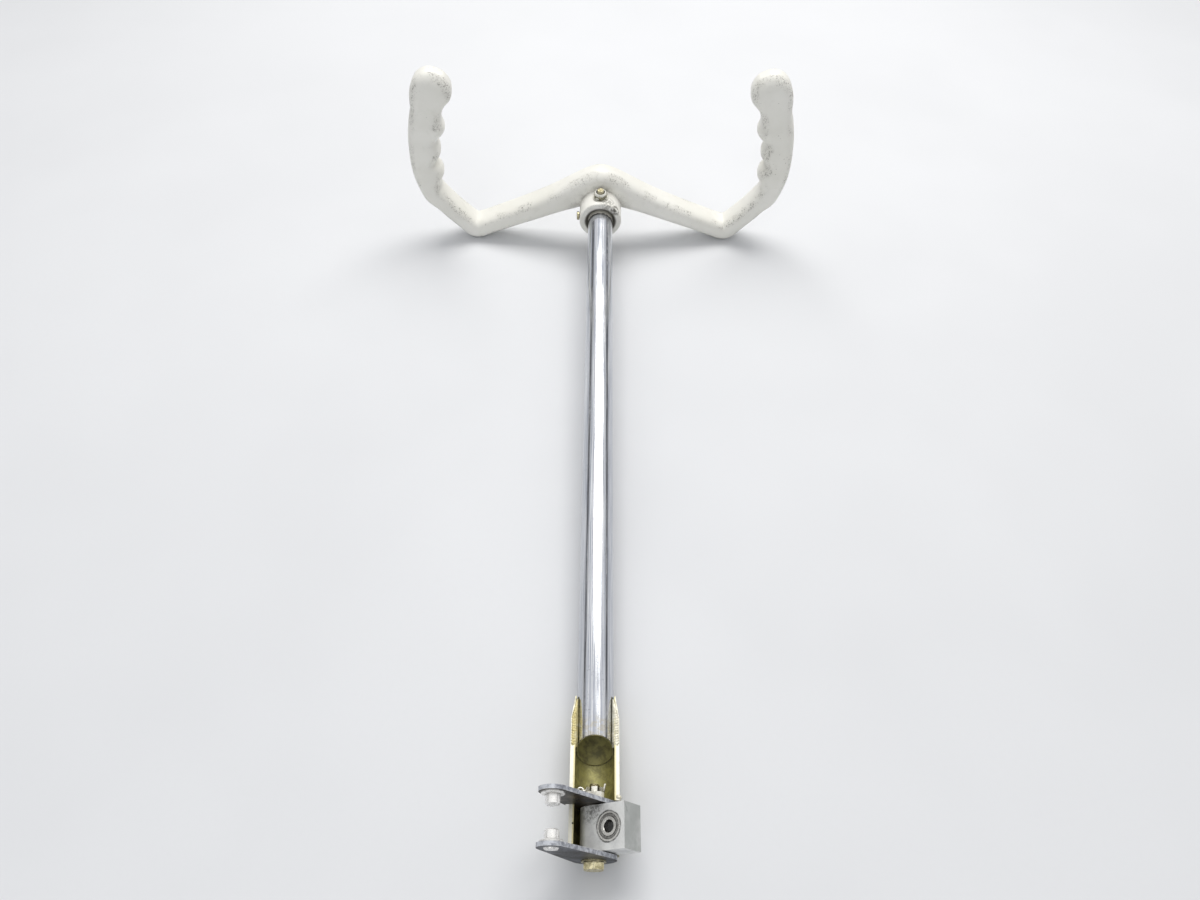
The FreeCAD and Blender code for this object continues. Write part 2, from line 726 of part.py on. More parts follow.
def make_block():
    body = new_body("swing_block")
    sketch = new_sketch(body, "XZ_Plane")
    half = S("block_thick") / 2
    r = number(half)
    reach = S("block_reach")
    sketch.addGeometry(Part.ArcOfCircle(Part.Circle(V(0, 0, 0), V(0, 0, 1), r), math.pi / 2, 3 * math.pi / 2), False)
    sketch.addGeometry(Part.LineSegment(V(0, -r, 0), V(number(reach), -r, 0)), False)
    sketch.addGeometry(Part.LineSegment(V(number(reach), -r, 0), V(number(reach), r, 0)), False)
    sketch.addGeometry(Part.LineSegment(V(number(reach), r, 0), V(0, r, 0)), False)
    for a, b, c, d in ((0, 2, 1, 1), (1, 2, 2, 1), (2, 2, 3, 1), (3, 2, 0, 1)):
        sketch.addConstraint(Sketcher.Constraint("Coincident", a, b, c, d))
    sketch.addConstraint(Sketcher.Constraint("Coincident", 0, 3, -1, 1))
    sketch.addConstraint(Sketcher.Constraint("PointOnObject", 0, 1, -2))
    sketch.addConstraint(Sketcher.Constraint("PointOnObject", 0, 2, -2))
    sketch.addConstraint(Sketcher.Constraint("Horizontal", 1))
    sketch.addConstraint(Sketcher.Constraint("Vertical", 2))
    sketch.addConstraint(Sketcher.Constraint("Horizontal", 3))
    hold(sketch, "Radius", 0, half)
    hold(sketch, "DistanceX", -1, 1, 1, 2, reach)
    pad(body, sketch, S("block_long"))
    bore = new_sketch(body, "XZ_Plane")
    draw_circle(bore, 0, 0, S("pivot_od") + S("pivot_run") * 2)
    pocket(body, bore, S("block_long") * 2 + 4, both_ways=True)
    middle = S("block_long") * -0.5
    seat = new_sketch(body, "XY_Plane", half - S("bearing_wide") - 0.1)
    draw_circle(seat, S("bearing_at"), middle, S("bearing_od"))
    pocket(body, seat, S("bearing_wide") + 2, flipped=True)
    through = new_sketch(body, "XY_Plane")
    draw_circle(through, S("bearing_at"), middle, S("bearing_od") - 3.2)
    pocket(body, through, S("block_thick") + 4, both_ways=True)
    body.Placement = at(0, block_far(), 0, block_turn())
    return body


def make_shims():
    hole = S("pivot_od") / 2 + 0.15
    rim = S("block_thick") / 2 - 0.6
    ring = [(hole, 0), (rim, 0), (rim, S("shim_thick")), (hole, S("shim_thick"))]
    along = TURN(V(1, 0, 0), 90)
    far = turned("shim_far", ring, at(0, arm_plane() - N("arm_thick"), 0, along))
    near = turned("shim_near", ring, at(0, near_arm_plane() + N("shim_thick"), 0, along))
    return joined("Part::Compound", "shims", at(0, 0, 0), far, near)


# Ball bearing
def bearing_seat():
    """Local Z along the bearing's axis, origin on its outer face."""
    turn = block_turn()
    local = V(N("bearing_at"), -N("block_long") / 2, N("block_thick") / 2 - N("bearing_wide") - 0.1)
    return FreeCAD.Placement(V(0, block_far(), 0) + turn.multVec(local), turn)


def make_bearing():
    seat = bearing_seat()
    outer = S("bearing_od") / 2
    inner = S("bearing_bore") / 2
    wide = S("bearing_wide")
    ball = N("ball_od") / 2
    pitch = (N("bearing_od") + N("bearing_bore")) / 4
    lip = ball * 0.5
    races = (
        ("bearing_outer_race", [(outer - 0.02, 0.25), (outer - 0.02, wide - 0.25), (outer - 0.27, wide),
                                (pitch + lip + 0.55, wide), (pitch + lip + 0.55, wide - 0.9),
                                (pitch + lip, wide - 0.9), (pitch + lip, 0.9), (pitch + lip + 0.55, 0.9),
                                (pitch + lip + 0.55, 0), (outer - 0.27, 0)]),
        ("bearing_inner_race", [(inner + 0.25, 0), (pitch - lip, 0), (pitch - lip, wide), (inner + 0.25, wide),
                                (inner, wide - 0.25), (inner, 0.25)]),
    )
    middle = N("bearing_wide") / 2
    for label, outline in races:
        blank = turned(label + "_ring", outline, at(0, 0, 0))
        groove = doc.addObject("Part::Torus", label + "_groove")
        groove.Radius1 = pitch
        groove.Radius2 = ball + 0.06
        groove.Placement = at(0, 0, middle)
        joined("Part::Cut", label, seat, blank, groove)
    count = int(N("ball_count"))
    balls = []
    for i in range(count):
        angle = 2 * math.pi * i / count
        balls.append(Part.makeSphere(ball, V(pitch * math.cos(angle), pitch * math.sin(angle), middle)))
    solid("bearing_balls", Part.makeCompound(balls), seat)
    ring = Part.makeCylinder(pitch + 0.42, 3.4, V(0, 0, middle - 1.7))
    ring = ring.cut(Part.makeCylinder(pitch - 0.42, 3.6, V(0, 0, middle - 1.8)))
    pockets = []
    for i in range(count):
        angle = 2 * math.pi * i / count
        outward = V(math.cos(angle), math.sin(angle), 0)
        pockets.append(Part.makeCylinder(ball + 0.08, 2.0, outward * (pitch - 1.0) + V(0, 0, middle), outward))
    cage = ring.cut(pockets)
    solid("bearing_cage", cage, seat)
    thick = 0.3
    rim = pitch + lip + 0.53
    clear = pitch - lip + 0.25
    plate = [(clear, 0), (rim, 0), (rim, thick), (clear, thick)]
    high = turned("shield_high", plate, at(0, 0, N("bearing_wide") - 0.55))
    low = turned("shield_low", plate, at(0, 0, 0.25))
    joined("Part::Compound", "bearing_shields", seat, high, low)


NODES = (
    "wheel_casting", "hub_bolt", "hub_nut", "hub_washers", "side_screw", "tube", "channel", "tube_welds",
    "arm_weld", "far_arm", "near_arm", "link_pins", "pivot_bolt", "pivot_washers", "castle_nut", "split_pin",
    "swing_block", "shims", "bearing_outer_race", "bearing_inner_race", "bearing_balls", "bearing_cage",
    "bearing_shields",
)


def check_and_export():
    doc.recompute()
    for item in doc.Objects:
        bad = [s for s in item.State if s in ("Invalid", "Error")]
        if bad:
            raise RuntimeError("%s did not build: %s" % (item.Label, bad))
    os.makedirs("parts", exist_ok=True)
    for name in NODES:
        shape = doc.getObject(name).Shape
        if shape.isNull() or not shape.isValid():
            raise RuntimeError("%s has no sound shape" % name)
        shape.exportStep("parts/%s.step" % name)
        print("%-20s solids %2d  volume %10.1f" % (name, len(shape.Solids), shape.Volume))


doc = FreeCAD.newDocument("control_wheel")
sheet = make_sheet()
make_wheel()
make_hub_fasteners()
make_tube()
make_channel()
doc.recompute()
make_tube_welds()
make_arms()
doc.recompute()
make_arm_weld()
make_link_pins()
make_pivot()
make_block()
make_shims()
make_bearing()
check_and_export()
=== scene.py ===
import json
import math
import random

import bmesh
import bpy
from mathutils import Matrix, Vector


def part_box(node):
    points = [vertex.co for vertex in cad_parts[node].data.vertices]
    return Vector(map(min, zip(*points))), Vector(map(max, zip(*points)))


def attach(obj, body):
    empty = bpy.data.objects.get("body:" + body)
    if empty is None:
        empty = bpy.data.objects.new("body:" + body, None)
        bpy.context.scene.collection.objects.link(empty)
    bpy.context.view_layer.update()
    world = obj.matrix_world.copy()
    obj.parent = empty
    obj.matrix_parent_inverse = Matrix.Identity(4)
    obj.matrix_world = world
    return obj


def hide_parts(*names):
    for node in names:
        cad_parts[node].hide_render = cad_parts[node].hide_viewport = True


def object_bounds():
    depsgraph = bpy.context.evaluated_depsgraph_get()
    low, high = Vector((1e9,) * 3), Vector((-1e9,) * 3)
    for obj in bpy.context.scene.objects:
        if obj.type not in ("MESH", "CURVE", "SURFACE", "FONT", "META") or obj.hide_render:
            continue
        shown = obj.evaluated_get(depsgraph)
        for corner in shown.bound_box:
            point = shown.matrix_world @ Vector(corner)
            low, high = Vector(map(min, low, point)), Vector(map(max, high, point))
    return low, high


bl_info = {
    "name": "Aircraft Control Wheel",
    "version": (1, 0, 0),
    "blender": (4, 5, 0),
    "location": "View3D > Sidebar > Control Wheel",
    "description": "Dresses the packed control wheel, its shaft tube and its bracket",
    "category": "Object",
}

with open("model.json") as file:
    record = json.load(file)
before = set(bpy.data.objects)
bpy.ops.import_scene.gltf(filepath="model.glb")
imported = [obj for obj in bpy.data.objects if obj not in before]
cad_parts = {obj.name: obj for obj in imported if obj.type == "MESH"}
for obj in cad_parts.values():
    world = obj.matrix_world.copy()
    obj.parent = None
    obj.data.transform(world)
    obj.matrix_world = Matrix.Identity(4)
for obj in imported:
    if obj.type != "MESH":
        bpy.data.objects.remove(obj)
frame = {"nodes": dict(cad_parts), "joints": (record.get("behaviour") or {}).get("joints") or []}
CAD_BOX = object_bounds()
NODE = frame["nodes"]
MM = 0.001


def corners(name):
    """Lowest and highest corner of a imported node."""
    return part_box(name)


# Main lines of the shaft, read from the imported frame
BLOCK_HIGH = corners("swing_block")[1]
WELD_LOW, WELD_HIGH = corners("tube_welds")
SIDE_WELD_LOW, SIDE_WELD_HIGH = corners("arm_weld")
TUBE_LOW, TUBE_HIGH = corners("tube")
TUBE_RADIUS = TUBE_HIGH.x
HUB_BOLT_LOW, HUB_BOLT_HIGH = corners("hub_bolt")
NUT_LOW, NUT_HIGH = corners("hub_nut")
PIVOT_LOW, PIVOT_HIGH = corners("pivot_bolt")
JOINT = {row["name"]: row for row in frame["joints"]}
BEARING_AXIS = Vector(JOINT["inner_race_spin"]["axis"]).normalized()
BEARING_MIDDLE = Vector(JOINT["inner_race_spin"]["pos_m"])
BLOCK_ALONG = Vector((BEARING_AXIS.z, 0.0, -BEARING_AXIS.x))
SHAFT_AXIS = (0.0, 1.0, 0.0)
ORIGIN = (0.0, 0.0, 0.0)
# Bearing radii, from the bore to the block's own ring
BORE_RADIUS = 0.0032
HOLE_RADIUS = 0.0068
RIM_RADIUS = 0.0080
# Camera and floor
CAMERA_PLACE = (0.0015, -0.6077, 0.5029)
CAMERA_TILT = math.radians(35.0)
CAMERA_TURN = math.radians(0.49)
FLOOR_SIZE = 9.0
FLOOR_STEPS = 24


# Node material helper
class Finish:
    """One procedural material, built a step at a time in object space."""

    def __init__(self, name, metallic=0.0, roughness=0.5):
        self.material = bpy.data.materials.new(name)
        self.material.use_nodes = True
        self.tree = self.material.node_tree
        self.shader = self.tree.nodes["Principled BSDF"]
        self.shader.inputs["Metallic"].default_value = metallic
        self.shader.inputs["Roughness"].default_value = roughness
        self.place = self.tree.nodes.new("ShaderNodeTexCoord")

    def feed(self, socket, value):
        if isinstance(value, bpy.types.NodeSocket):
            self.tree.links.new(value, socket)
        elif hasattr(value, "__len__") and socket.type == "RGBA" and len(value) == 3:
            socket.default_value = (*value, 1.0)
        else:
            socket.default_value = value

    def node(self, kind, inputs=(), **settings):
        made = self.tree.nodes.new(kind)
        for key, value in settings.items():
            setattr(made, key, value)
        for key, value in dict(inputs).items():
            self.feed(made.inputs[key], value)
        return made

    def spot(self, stretch):
        """Object space position, stretched."""
        made = self.node("ShaderNodeMapping", {"Vector": self.place.outputs["Object"], "Scale": stretch})
        return made.outputs["Vector"]

    def noise(self, scale, detail=3.0, rough=0.5, where=None, twist=0.0):
        made = self.node("ShaderNodeTexNoise", {
            "Vector": where or self.place.outputs["Object"], "Scale": scale, "Detail": detail,
            "Roughness": rough, "Distortion": twist})
        return made.outputs["Fac"]

    def cells(self, scale):
        made = self.node("ShaderNodeTexVoronoi", {"Vector": self.place.outputs["Object"], "Scale": scale})
        return made.outputs["Distance"]

    def sum(self, kind, first, second=0.0, third=0.0):
        made = self.node("ShaderNodeMath", operation=kind)
        for socket, value in zip(made.inputs, (first, second, third)):
            self.feed(socket, value)
        return made.outputs["Value"]

    def fade(self, value, low, high, start=0.0, finish=1.0):
        """Smooth change from start to finish while the value goes from low to high."""
        made = self.node("ShaderNodeMapRange", {"Value": value, "From Min": low, "From Max": high,
                                                "To Min": start, "To Max": finish},
                         interpolation_type="SMOOTHSTEP")
        return made.outputs["Result"]

    def blend(self, share, first, second):
        made = self.node("ShaderNodeMix", data_type="RGBA")
        self.feed(made.inputs["Factor"], share)
        self.feed(made.inputs[6], first)
        self.feed(made.inputs[7], second)
        return made.outputs[2]

    def parts(self, output="Object"):
        """The three parts of the position or of the normal."""
        made = self.node("ShaderNodeSeparateXYZ", {"Vector": self.place.outputs[output]})
        return made.outputs["X"], made.outputs["Y"], made.outputs["Z"]

    def near(self, point, radius, soft=0.4):
        """One at a point, falling to nothing at the radius."""
        away = self.node("ShaderNodeVectorMath", {0: self.place.outputs["Object"], 1: point},
                         operation="DISTANCE").outputs["Value"]
        return self.fade(away, radius * (1.0 - soft), radius, 1.0, 0.0)

    def along(self, direction, origin):
        """Distance of a point along a direction, from an origin."""
        arm = self.node("ShaderNodeVectorMath", {0: self.place.outputs["Object"], 1: origin},
                        operation="SUBTRACT").outputs["Vector"]
        return self.node("ShaderNodeVectorMath", {0: arm, 1: direction},
                         operation="DOT_PRODUCT").outputs["Value"]

    def off_axis(self, direction, origin):
        """Distance of a point from a line."""
        arm = self.node("ShaderNodeVectorMath", {0: self.place.outputs["Object"], 1: origin},
                        operation="SUBTRACT").outputs["Vector"]
        cross = self.node("ShaderNodeVectorMath", {0: arm, 1: direction},
                          operation="CROSS_PRODUCT").outputs["Vector"]
        return self.node("ShaderNodeVectorMath", {0: cross}, operation="LENGTH").outputs["Value"]

    def corner(self, size):
        """One on convex edges that are narrower than the given size."""
        bent = self.node("ShaderNodeBevel", {"Radius": size}, samples=4).outputs["Normal"]
        flat = self.node("ShaderNodeNewGeometry").outputs["Normal"]
        likeness = self.node("ShaderNodeVectorMath", {0: bent, 1: flat}, operation="DOT_PRODUCT")
        return self.fade(likeness.outputs["Value"], 0.75, 0.99, 1.0, 0.0)

    def hollow(self, reach):
        """One deep inside hollows and corners, from ambient occlusion; the finishes use it to paint shade
        there.
        """
        shade = self.node("ShaderNodeAmbientOcclusion", {"Distance": reach}, samples=6).outputs["AO"]
        return self.fade(shade, 0.35, 0.95, 1.0, 0.0)

    def colour(self, value):
        self.feed(self.shader.inputs["Base Color"], value)

    def gloss(self, value):
        self.feed(self.shader.inputs["Roughness"], value)

    def metal(self, value):
        self.feed(self.shader.inputs["Metallic"], value)

    def bumps(self, *layers):
        """Stacks height layers, each a value, a strength and a depth in metres."""
        last = None
        for height, strength, depth in layers:
            made = self.node("ShaderNodeBump", {"Height": height, "Strength": strength, "Distance": depth})
            if last is not None:
                self.feed(made.inputs["Normal"], last)
            last = made.outputs["Normal"]
        self.feed(self.shader.inputs["Normal"], last)


def wear(node_name, finish):
    """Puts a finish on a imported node."""
    mesh = NODE[node_name].data
    if not mesh.materials:
        mesh.materials.append(finish.material)
    for index in range(len(mesh.materials)):
        mesh.materials[index] = finish.material


# Mesh helpers
def piece(name, points, faces, finish, body, stands_for=()):
    """Makes a smooth mesh piece in frame coordinates and fixes it to its body."""
    mesh = bpy.data.meshes.new(name)
    mesh.from_pydata([tuple(p) for p in points], [], faces)
    mesh.materials.append(finish.material)
    mesh.validate()
    made = bpy.data.objects.new(name, mesh)
    bpy.context.scene.collection.objects.link(made)
    shape = bmesh.new()
    shape.from_mesh(mesh)
    bmesh.ops.recalc_face_normals(shape, faces=shape.faces)
    shape.to_mesh(mesh)
    shape.free()
    mesh.shade_smooth()
    mesh.set_sharp_from_angle(angle=math.radians(38.0))
    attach(made, body)
    if stands_for:
        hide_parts(*stands_for)
    return made


def skin(rings, closed_ends=True):
    """Points and faces that join a row of rings with equal counts."""
    count = len(rings[0])
    points = [p for ring in rings for p in ring]
    faces = []
    for i in range(len(rings) - 1):
        for j in range(count):
            k = (j + 1) % count
            faces.append((i * count + j, i * count + k, (i + 1) * count + k, (i + 1) * count + j))
    if closed_ends:
        faces.append(tuple(reversed(range(count))))
        faces.append(tuple(range((len(rings) - 1) * count, len(rings) * count)))
    return points, faces


def seat(origin, axis, side):
    """A frame with Z along the axis and X near the side direction."""
    z = Vector(axis).normalized()
    y = z.cross(Vector(side)).normalized()
    x = y.cross(z)
    turn = Matrix((x, y, z)).transposed().to_4x4()
    return Matrix.Translation(Vector(origin)) @ turn


def hexagon_limit(size, flats, angle):
    """The size, held inside a hexagon of the given width at this angle."""
    wrap = (angle + math.pi / 6.0) % (math.pi / 3.0) - math.pi / 6.0
    return min(size, flats / 2.0 / math.cos(wrap))


def bolt_rings(flats, head, under, plain, length, radius, pitch):
    """Rings of a hexagon-headed bolt: head below zero, shank and thread above it."""
    count = 48
    corner = flats / math.sqrt(3.0)
    turn_r = flats / 2.0 * 0.985
    rings = []

    def ring(z, size, hexed):
        row = []
        for j in range(count):
            angle = 2.0 * math.pi * j / count
            r = hexagon_limit(size, flats, angle) if hexed else size
            row.append(Vector((r * math.cos(angle), r * math.sin(angle), z)))
        rings.append(row)

    ring(-head, turn_r * 0.45, False)
    ring(-head, turn_r, False)
    ring(-head + (corner - turn_r) * 0.58, corner, True)
    ring(-under, corner, True)
    ring(-under, turn_r, False)
    ring(0.0, turn_r, False)
    ring(0.0, radius + 0.0002, False)
    ring(0.0002, radius, False)
    ring(plain, radius, False)
    steps = 8
    depth = 0.55 * pitch
    total = int((length - plain) / pitch * steps)
    for i in range(total + 1):
        z = plain + (length - plain) * i / total
        row = []
        fade_in = min(1.0, i / (1.0 * steps))
        end = max(0.0, 1.0 - (length - z) / (1.2 * pitch))
        for j in range(count):
            angle = 2.0 * math.pi * j / count
            phase = (z / pitch - j / count) % 1.0
            wave = abs(2.0 * phase - 1.0)
            r = radius - depth * fade_in * min(1.0, max(0.0, 1.25 * wave - 0.12)) - 0.7 * depth * end
            row.append(Vector((r * math.cos(angle), r * math.sin(angle), z)))
        rings.append(row)
    ring(length, radius * 0.45, False)
    return rings


def weld_bead(start, finish, width, tall, up, seed, ripples, steps=150, around=28):
    """A hand-laid bead: overlapping scales, uneven edges and fine pits."""
    rng = random.Random(seed)
    jog = [rng.uniform(-1.0, 1.0) for _ in range(ripples + 3)]
    run = finish - start
    length = run.length
    ahead = run.normalized()
    side = ahead.cross(up).normalized()
    lift = side.cross(ahead)
    rings = []
    for i in range(steps + 1):
        t = i / steps
        row = []
        end = min(1.0, math.sqrt(max(0.0, min(t, 1.0 - t) / 0.06)))
        for j in range(around):
            angle = 2.0 * math.pi * j / around
            across = math.cos(angle)
            high = math.sin(angle)
            phase = t * ripples + 0.35 * (1.0 - across * across)
            k = int(phase)
            share = phase - k
            scale = 1.0 - 0.30 * share ** 2 + 0.12 * jog[k % len(jog)]
            sway = 0.16 * (jog[k % len(jog)] * (1 - share) + jog[(k + 1) % len(jog)] * share)
            pit = 0.035 * math.sin(37.0 * t * ripples / 7.0 + 5.0 * angle) * math.sin(19.0 * t + 3.0 * angle)
            r = max(0.04, end) * (scale + pit)
            place = start + ahead * (length * t)
            place = place + side * (width * (across * r + sway)) + lift * (tall * high * r)
            row.append(place)
        rings.append(row)
    return skin(rings)


# Finishes
def cream_paint(settings):
    """Thick cream enamel on a sand casting, chipped on its rounded edges, with grime and painted shade round
    the socket and in the hollows beside the boss.
    """
    f = Finish("cream_enamel", roughness=0.38)
    y, z = f.parts()[1:]
    tone = f.noise(14.0, 4.0, 0.6)
    mottle = f.noise(160.0, 3.0, 0.55)
    base = f.blend(f.fade(tone, 0.35, 0.65), settings.enamel, settings.enamel_shade)
    base = f.blend(f.fade(mottle, 0.55, 0.75, 0.0, 0.22), base, (0.66, 0.65, 0.59))
    # Painted shade: a yellow-grey darkening laid by the occlusion mask in the finger hollows
    hand = f.sum("MULTIPLY", f.fade(z, 0.010, 0.030), f.fade(f.noise(60.0, 3.0, 0.6), 0.44, 0.62))
    base = f.blend(f.sum("MULTIPLY", f.sum("MULTIPLY", hand, f.hollow(0.012)), 0.5), base, (0.66, 0.64, 0.50))
    # Chips gather on the rounded edges, in clusters
    lean = f.sum("ABSOLUTE", f.parts("Normal")[1])
    edge = f.sum("MULTIPLY", f.fade(lean, 0.10, 0.34), f.fade(lean, 0.80, 0.98, 1.0, 0.0))
    patches = f.fade(f.noise(46.0, 3.0, 0.7), 0.44, 0.60)
    flecks = f.noise(settings.chip_fineness, 4.0, 0.72, twist=0.6)
    flecks = f.fade(flecks, 0.575 - 0.05 * settings.chips, 0.595 - 0.05 * settings.chips)
    chips = f.sum("MULTIPLY", f.sum("MULTIPLY", edge, patches), flecks)
    stray = f.sum("MULTIPLY", f.fade(f.cells(260.0), 0.12, 0.08), f.fade(f.noise(31.0), 0.56, 0.64))
    chips = f.sum("MAXIMUM", chips, stray)
    bare = f.blend(f.noise(900.0), (0.36, 0.34, 0.30), (0.20, 0.185, 0.16))
    base = f.blend(f.sum("MULTIPLY", chips, 0.8), base, bare)
    # Grime and painted shade, laid by the occlusion mask and broken by noise, in the hollows beside the boss;
    # painted shade with grime in the socket's mouth
    deep = f.sum("MULTIPLY", f.hollow(0.018), f.fade(f.noise(85.0, 4.0, 0.65), 0.32, 0.62))
    hub = f.near((0.0, 0.022, 0.0), 0.060, 0.5)
    base = f.blend(f.sum("MULTIPLY", f.sum("MULTIPLY", deep, hub), 0.8), base, (0.26, 0.245, 0.21))
    # Painted shade with grime: the socket's mouth is darkened almost to black
    across = f.off_axis(SHAFT_AXIS, ORIGIN)
    mouth = f.sum("MULTIPLY", f.fade(across, 0.0152, 0.0134), f.fade(y, 0.008, 0.002))
    base = f.blend(f.sum("MULTIPLY", mouth, 0.92), base, (0.07, 0.065, 0.055))
    patch = f.near((0.0132, 0.0016, 0.0118), 0.0068, 0.6)
    spread = f.near((0.0070, 0.0036, 0.0165), 0.0105, 0.7)
    ragged = f.fade(f.noise(430.0, 4.0, 0.7), 0.42, 0.54)
    smear = f.sum("MULTIPLY", f.sum("MAXIMUM", patch, f.sum("MULTIPLY", spread, 0.6)), ragged)
    base = f.blend(f.sum("MULTIPLY", smear, 0.92), base, (0.10, 0.092, 0.075))
    f.colour(base)
    f.gloss(f.fade(f.sum("ADD", mottle, f.sum("MULTIPLY", smear, 0.6)), 0.3, 1.0, 0.33, 0.62))
    orange_peel = f.noise(620.0, 2.0, 0.5)
    cast = f.noise(75.0, 3.0, 0.55)
    dents = f.fade(f.cells(95.0), 0.0, 0.16, 0.0, 1.0)
    f.bumps((cast, 0.35, 0.0006), (orange_peel, 0.22, 0.00016), (dents, 0.18, 0.0003),
            (f.sum("SUBTRACT", 1.0, chips), 0.8, 0.00022))
    return f


def chrome_tube(settings):
    """Polished steel tube: drawn streaks, pits and dull patches outside, olive chromate inside."""
    f = Finish("polished_tube", metallic=1.0)
    y = f.parts()[1]
    streak = f.noise(1500.0, 2.0, 0.6, where=f.spot((1.0, 0.012, 1.0)))
    band = f.noise(260.0, 3.0, 0.6, where=f.spot((1.0, 0.03, 1.0)))
    bright = f.blend(f.fade(streak, 0.30, 0.70), settings.tube_dark, settings.tube_bright)
    bright = f.blend(f.fade(band, 0.45, 0.75, 0.0, 0.5), bright, (0.40, 0.42, 0.46))
    worn = f.fade(y, -0.06, -0.30)
    pits = f.fade(f.cells(900.0), 0.26, 0.14)
    pits = f.sum("MULTIPLY", pits, f.fade(f.noise(150.0, 3.0, 0.6), 0.50, 0.62))
    bright = f.blend(f.sum("MULTIPLY", pits, 0.7), bright, (0.14, 0.14, 0.14))
    # Worn paint creeps out of the socket
    lip = f.fade(f.sum("ADD", y, f.fade(f.noise(420.0, 3.0), 0.3, 0.7, -0.0009, 0.0006)), -0.0024, -0.0018)
    outside = f.blend(lip, bright, (0.62, 0.60, 0.53))
    across = f.off_axis(SHAFT_AXIS, ORIGIN)
    inner = f.fade(across, TUBE_RADIUS - 0.00035, TUBE_RADIUS - 0.00060)
    blotch = f.noise(190.0, 4.0, 0.65)
    olive = f.blend(f.fade(blotch, 0.38, 0.64), settings.chromate, settings.chromate_dark)
    low_end = f.fade(y, TUBE_LOW.y + 0.025, TUBE_LOW.y + 0.019)
    end = f.sum("MULTIPLY", low_end, f.fade(f.noise(300.0, 3.0, 0.6), 0.42, 0.6))
    tarnish = f.blend(f.sum("MULTIPLY", end, 0.35), outside, (0.50, 0.42, 0.22))
    f.colour(f.blend(inner, tarnish, olive))
    dull = f.fade(f.noise(30.0, 3.0, 0.6), 0.40, 0.70, 0.10, 0.22)
    gloss = f.sum("ADD", dull, f.fade(streak, 0.35, 0.75, 0.0, 0.10))
    gloss = f.sum("MAXIMUM", gloss, f.sum("MULTIPLY", f.sum("MAXIMUM", inner, lip), 0.55))
    f.gloss(gloss)
    f.metal(f.sum("SUBTRACT", 1.0, f.sum("MULTIPLY", f.sum("MAXIMUM", inner, lip), 0.75)))
    f.bumps((streak, 0.10, 0.00008), (f.sum("MULTIPLY", pits, worn), -0.35, 0.00012),
            (f.noise(700.0, 3.0, 0.6), 0.05, 0.00010))
    return f


def chromate_channel(settings):
    """Plated channel: olive chromate inside, pale worn edges, one small pit in the left wall."""
    f = Finish("chromate_channel", metallic=0.55)
    x, z = f.parts()[0::2]
    side = f.sum("ABSOLUTE", x)
    blotch = f.noise(170.0, 4.0, 0.68, twist=0.5)
    fine = f.noise(900.0, 3.0, 0.6)
    olive = f.blend(f.fade(blotch, 0.36, 0.66), settings.chromate, settings.chromate_dark)
    olive = f.blend(f.fade(fine, 0.52, 0.78, 0.0, 0.5), olive, (0.50, 0.47, 0.28))
    plate = f.blend(f.fade(blotch, 0.35, 0.65), settings.plate, settings.plate_shade)
    plate = f.blend(f.fade(fine, 0.55, 0.8, 0.0, 0.5), plate, (0.36, 0.33, 0.24))
    inner = f.fade(side, TUBE_RADIUS + 0.00075, TUBE_RADIUS + 0.00045)
    top = f.fade(z, 0.0066, 0.0072)
    wall = f.blend(inner, plate, olive)
    rim = f.blend(f.fade(side, TUBE_RADIUS + 0.0007, TUBE_RADIUS + 0.0015), (0.66, 0.60, 0.34), settings.rim)
    rim = f.blend(f.fade(f.noise(520.0, 4.0, 0.7), 0.56, 0.70, 0.0, 0.5), rim, (0.42, 0.38, 0.22))
    wall = f.blend(top, wall, rim)
    # Painted shade, laid by the occlusion mask and broken by noise, in the channel's hollows and along the seam
    # with the block; and the small pit
    deep = f.sum("MULTIPLY", f.hollow(0.005), f.fade(f.noise(260.0, 3.0, 0.6), 0.30, 0.62))
    wall = f.blend(f.sum("MULTIPLY", deep, 0.55), wall, (0.075, 0.07, 0.045))
    pit = f.near((-0.0119, BLOCK_HIGH.y - 0.0092, 0.008), 0.00062, 0.35)
    f.colour(f.blend(pit, wall, (0.015, 0.014, 0.012)))
    f.gloss(f.fade(f.sum("ADD", blotch, f.sum("MULTIPLY", fine, 0.4)), 0.4, 1.0, 0.34, 0.60))
    f.bumps((f.noise(420.0, 3.0, 0.6), 0.22, 0.00020), (fine, 0.14, 0.00010), (pit, -0.9, 0.0006))
    return f


def braze_metal(name, light, dark):
    """Rough filler metal with pits and flux stains."""
    f = Finish(name, metallic=0.7)
    coarse = f.noise(620.0, 4.0, 0.7, twist=1.1)
    fine = f.noise(1900.0, 3.0, 0.65)
    base = f.blend(f.fade(coarse, 0.38, 0.62), dark, light)
    base = f.blend(f.fade(fine, 0.56, 0.72, 0.0, 0.8), base, (0.15, 0.125, 0.07))
    base = f.blend(f.fade(f.noise(240.0, 2.0), 0.55, 0.7, 0.0, 0.5), base, (0.80, 0.77, 0.62))
    f.colour(base)
    f.gloss(f.fade(coarse, 0.3, 0.7, 0.28, 0.6))
    f.bumps((coarse, 0.7, 0.00030), (fine, 0.5, 0.00012))
    return f


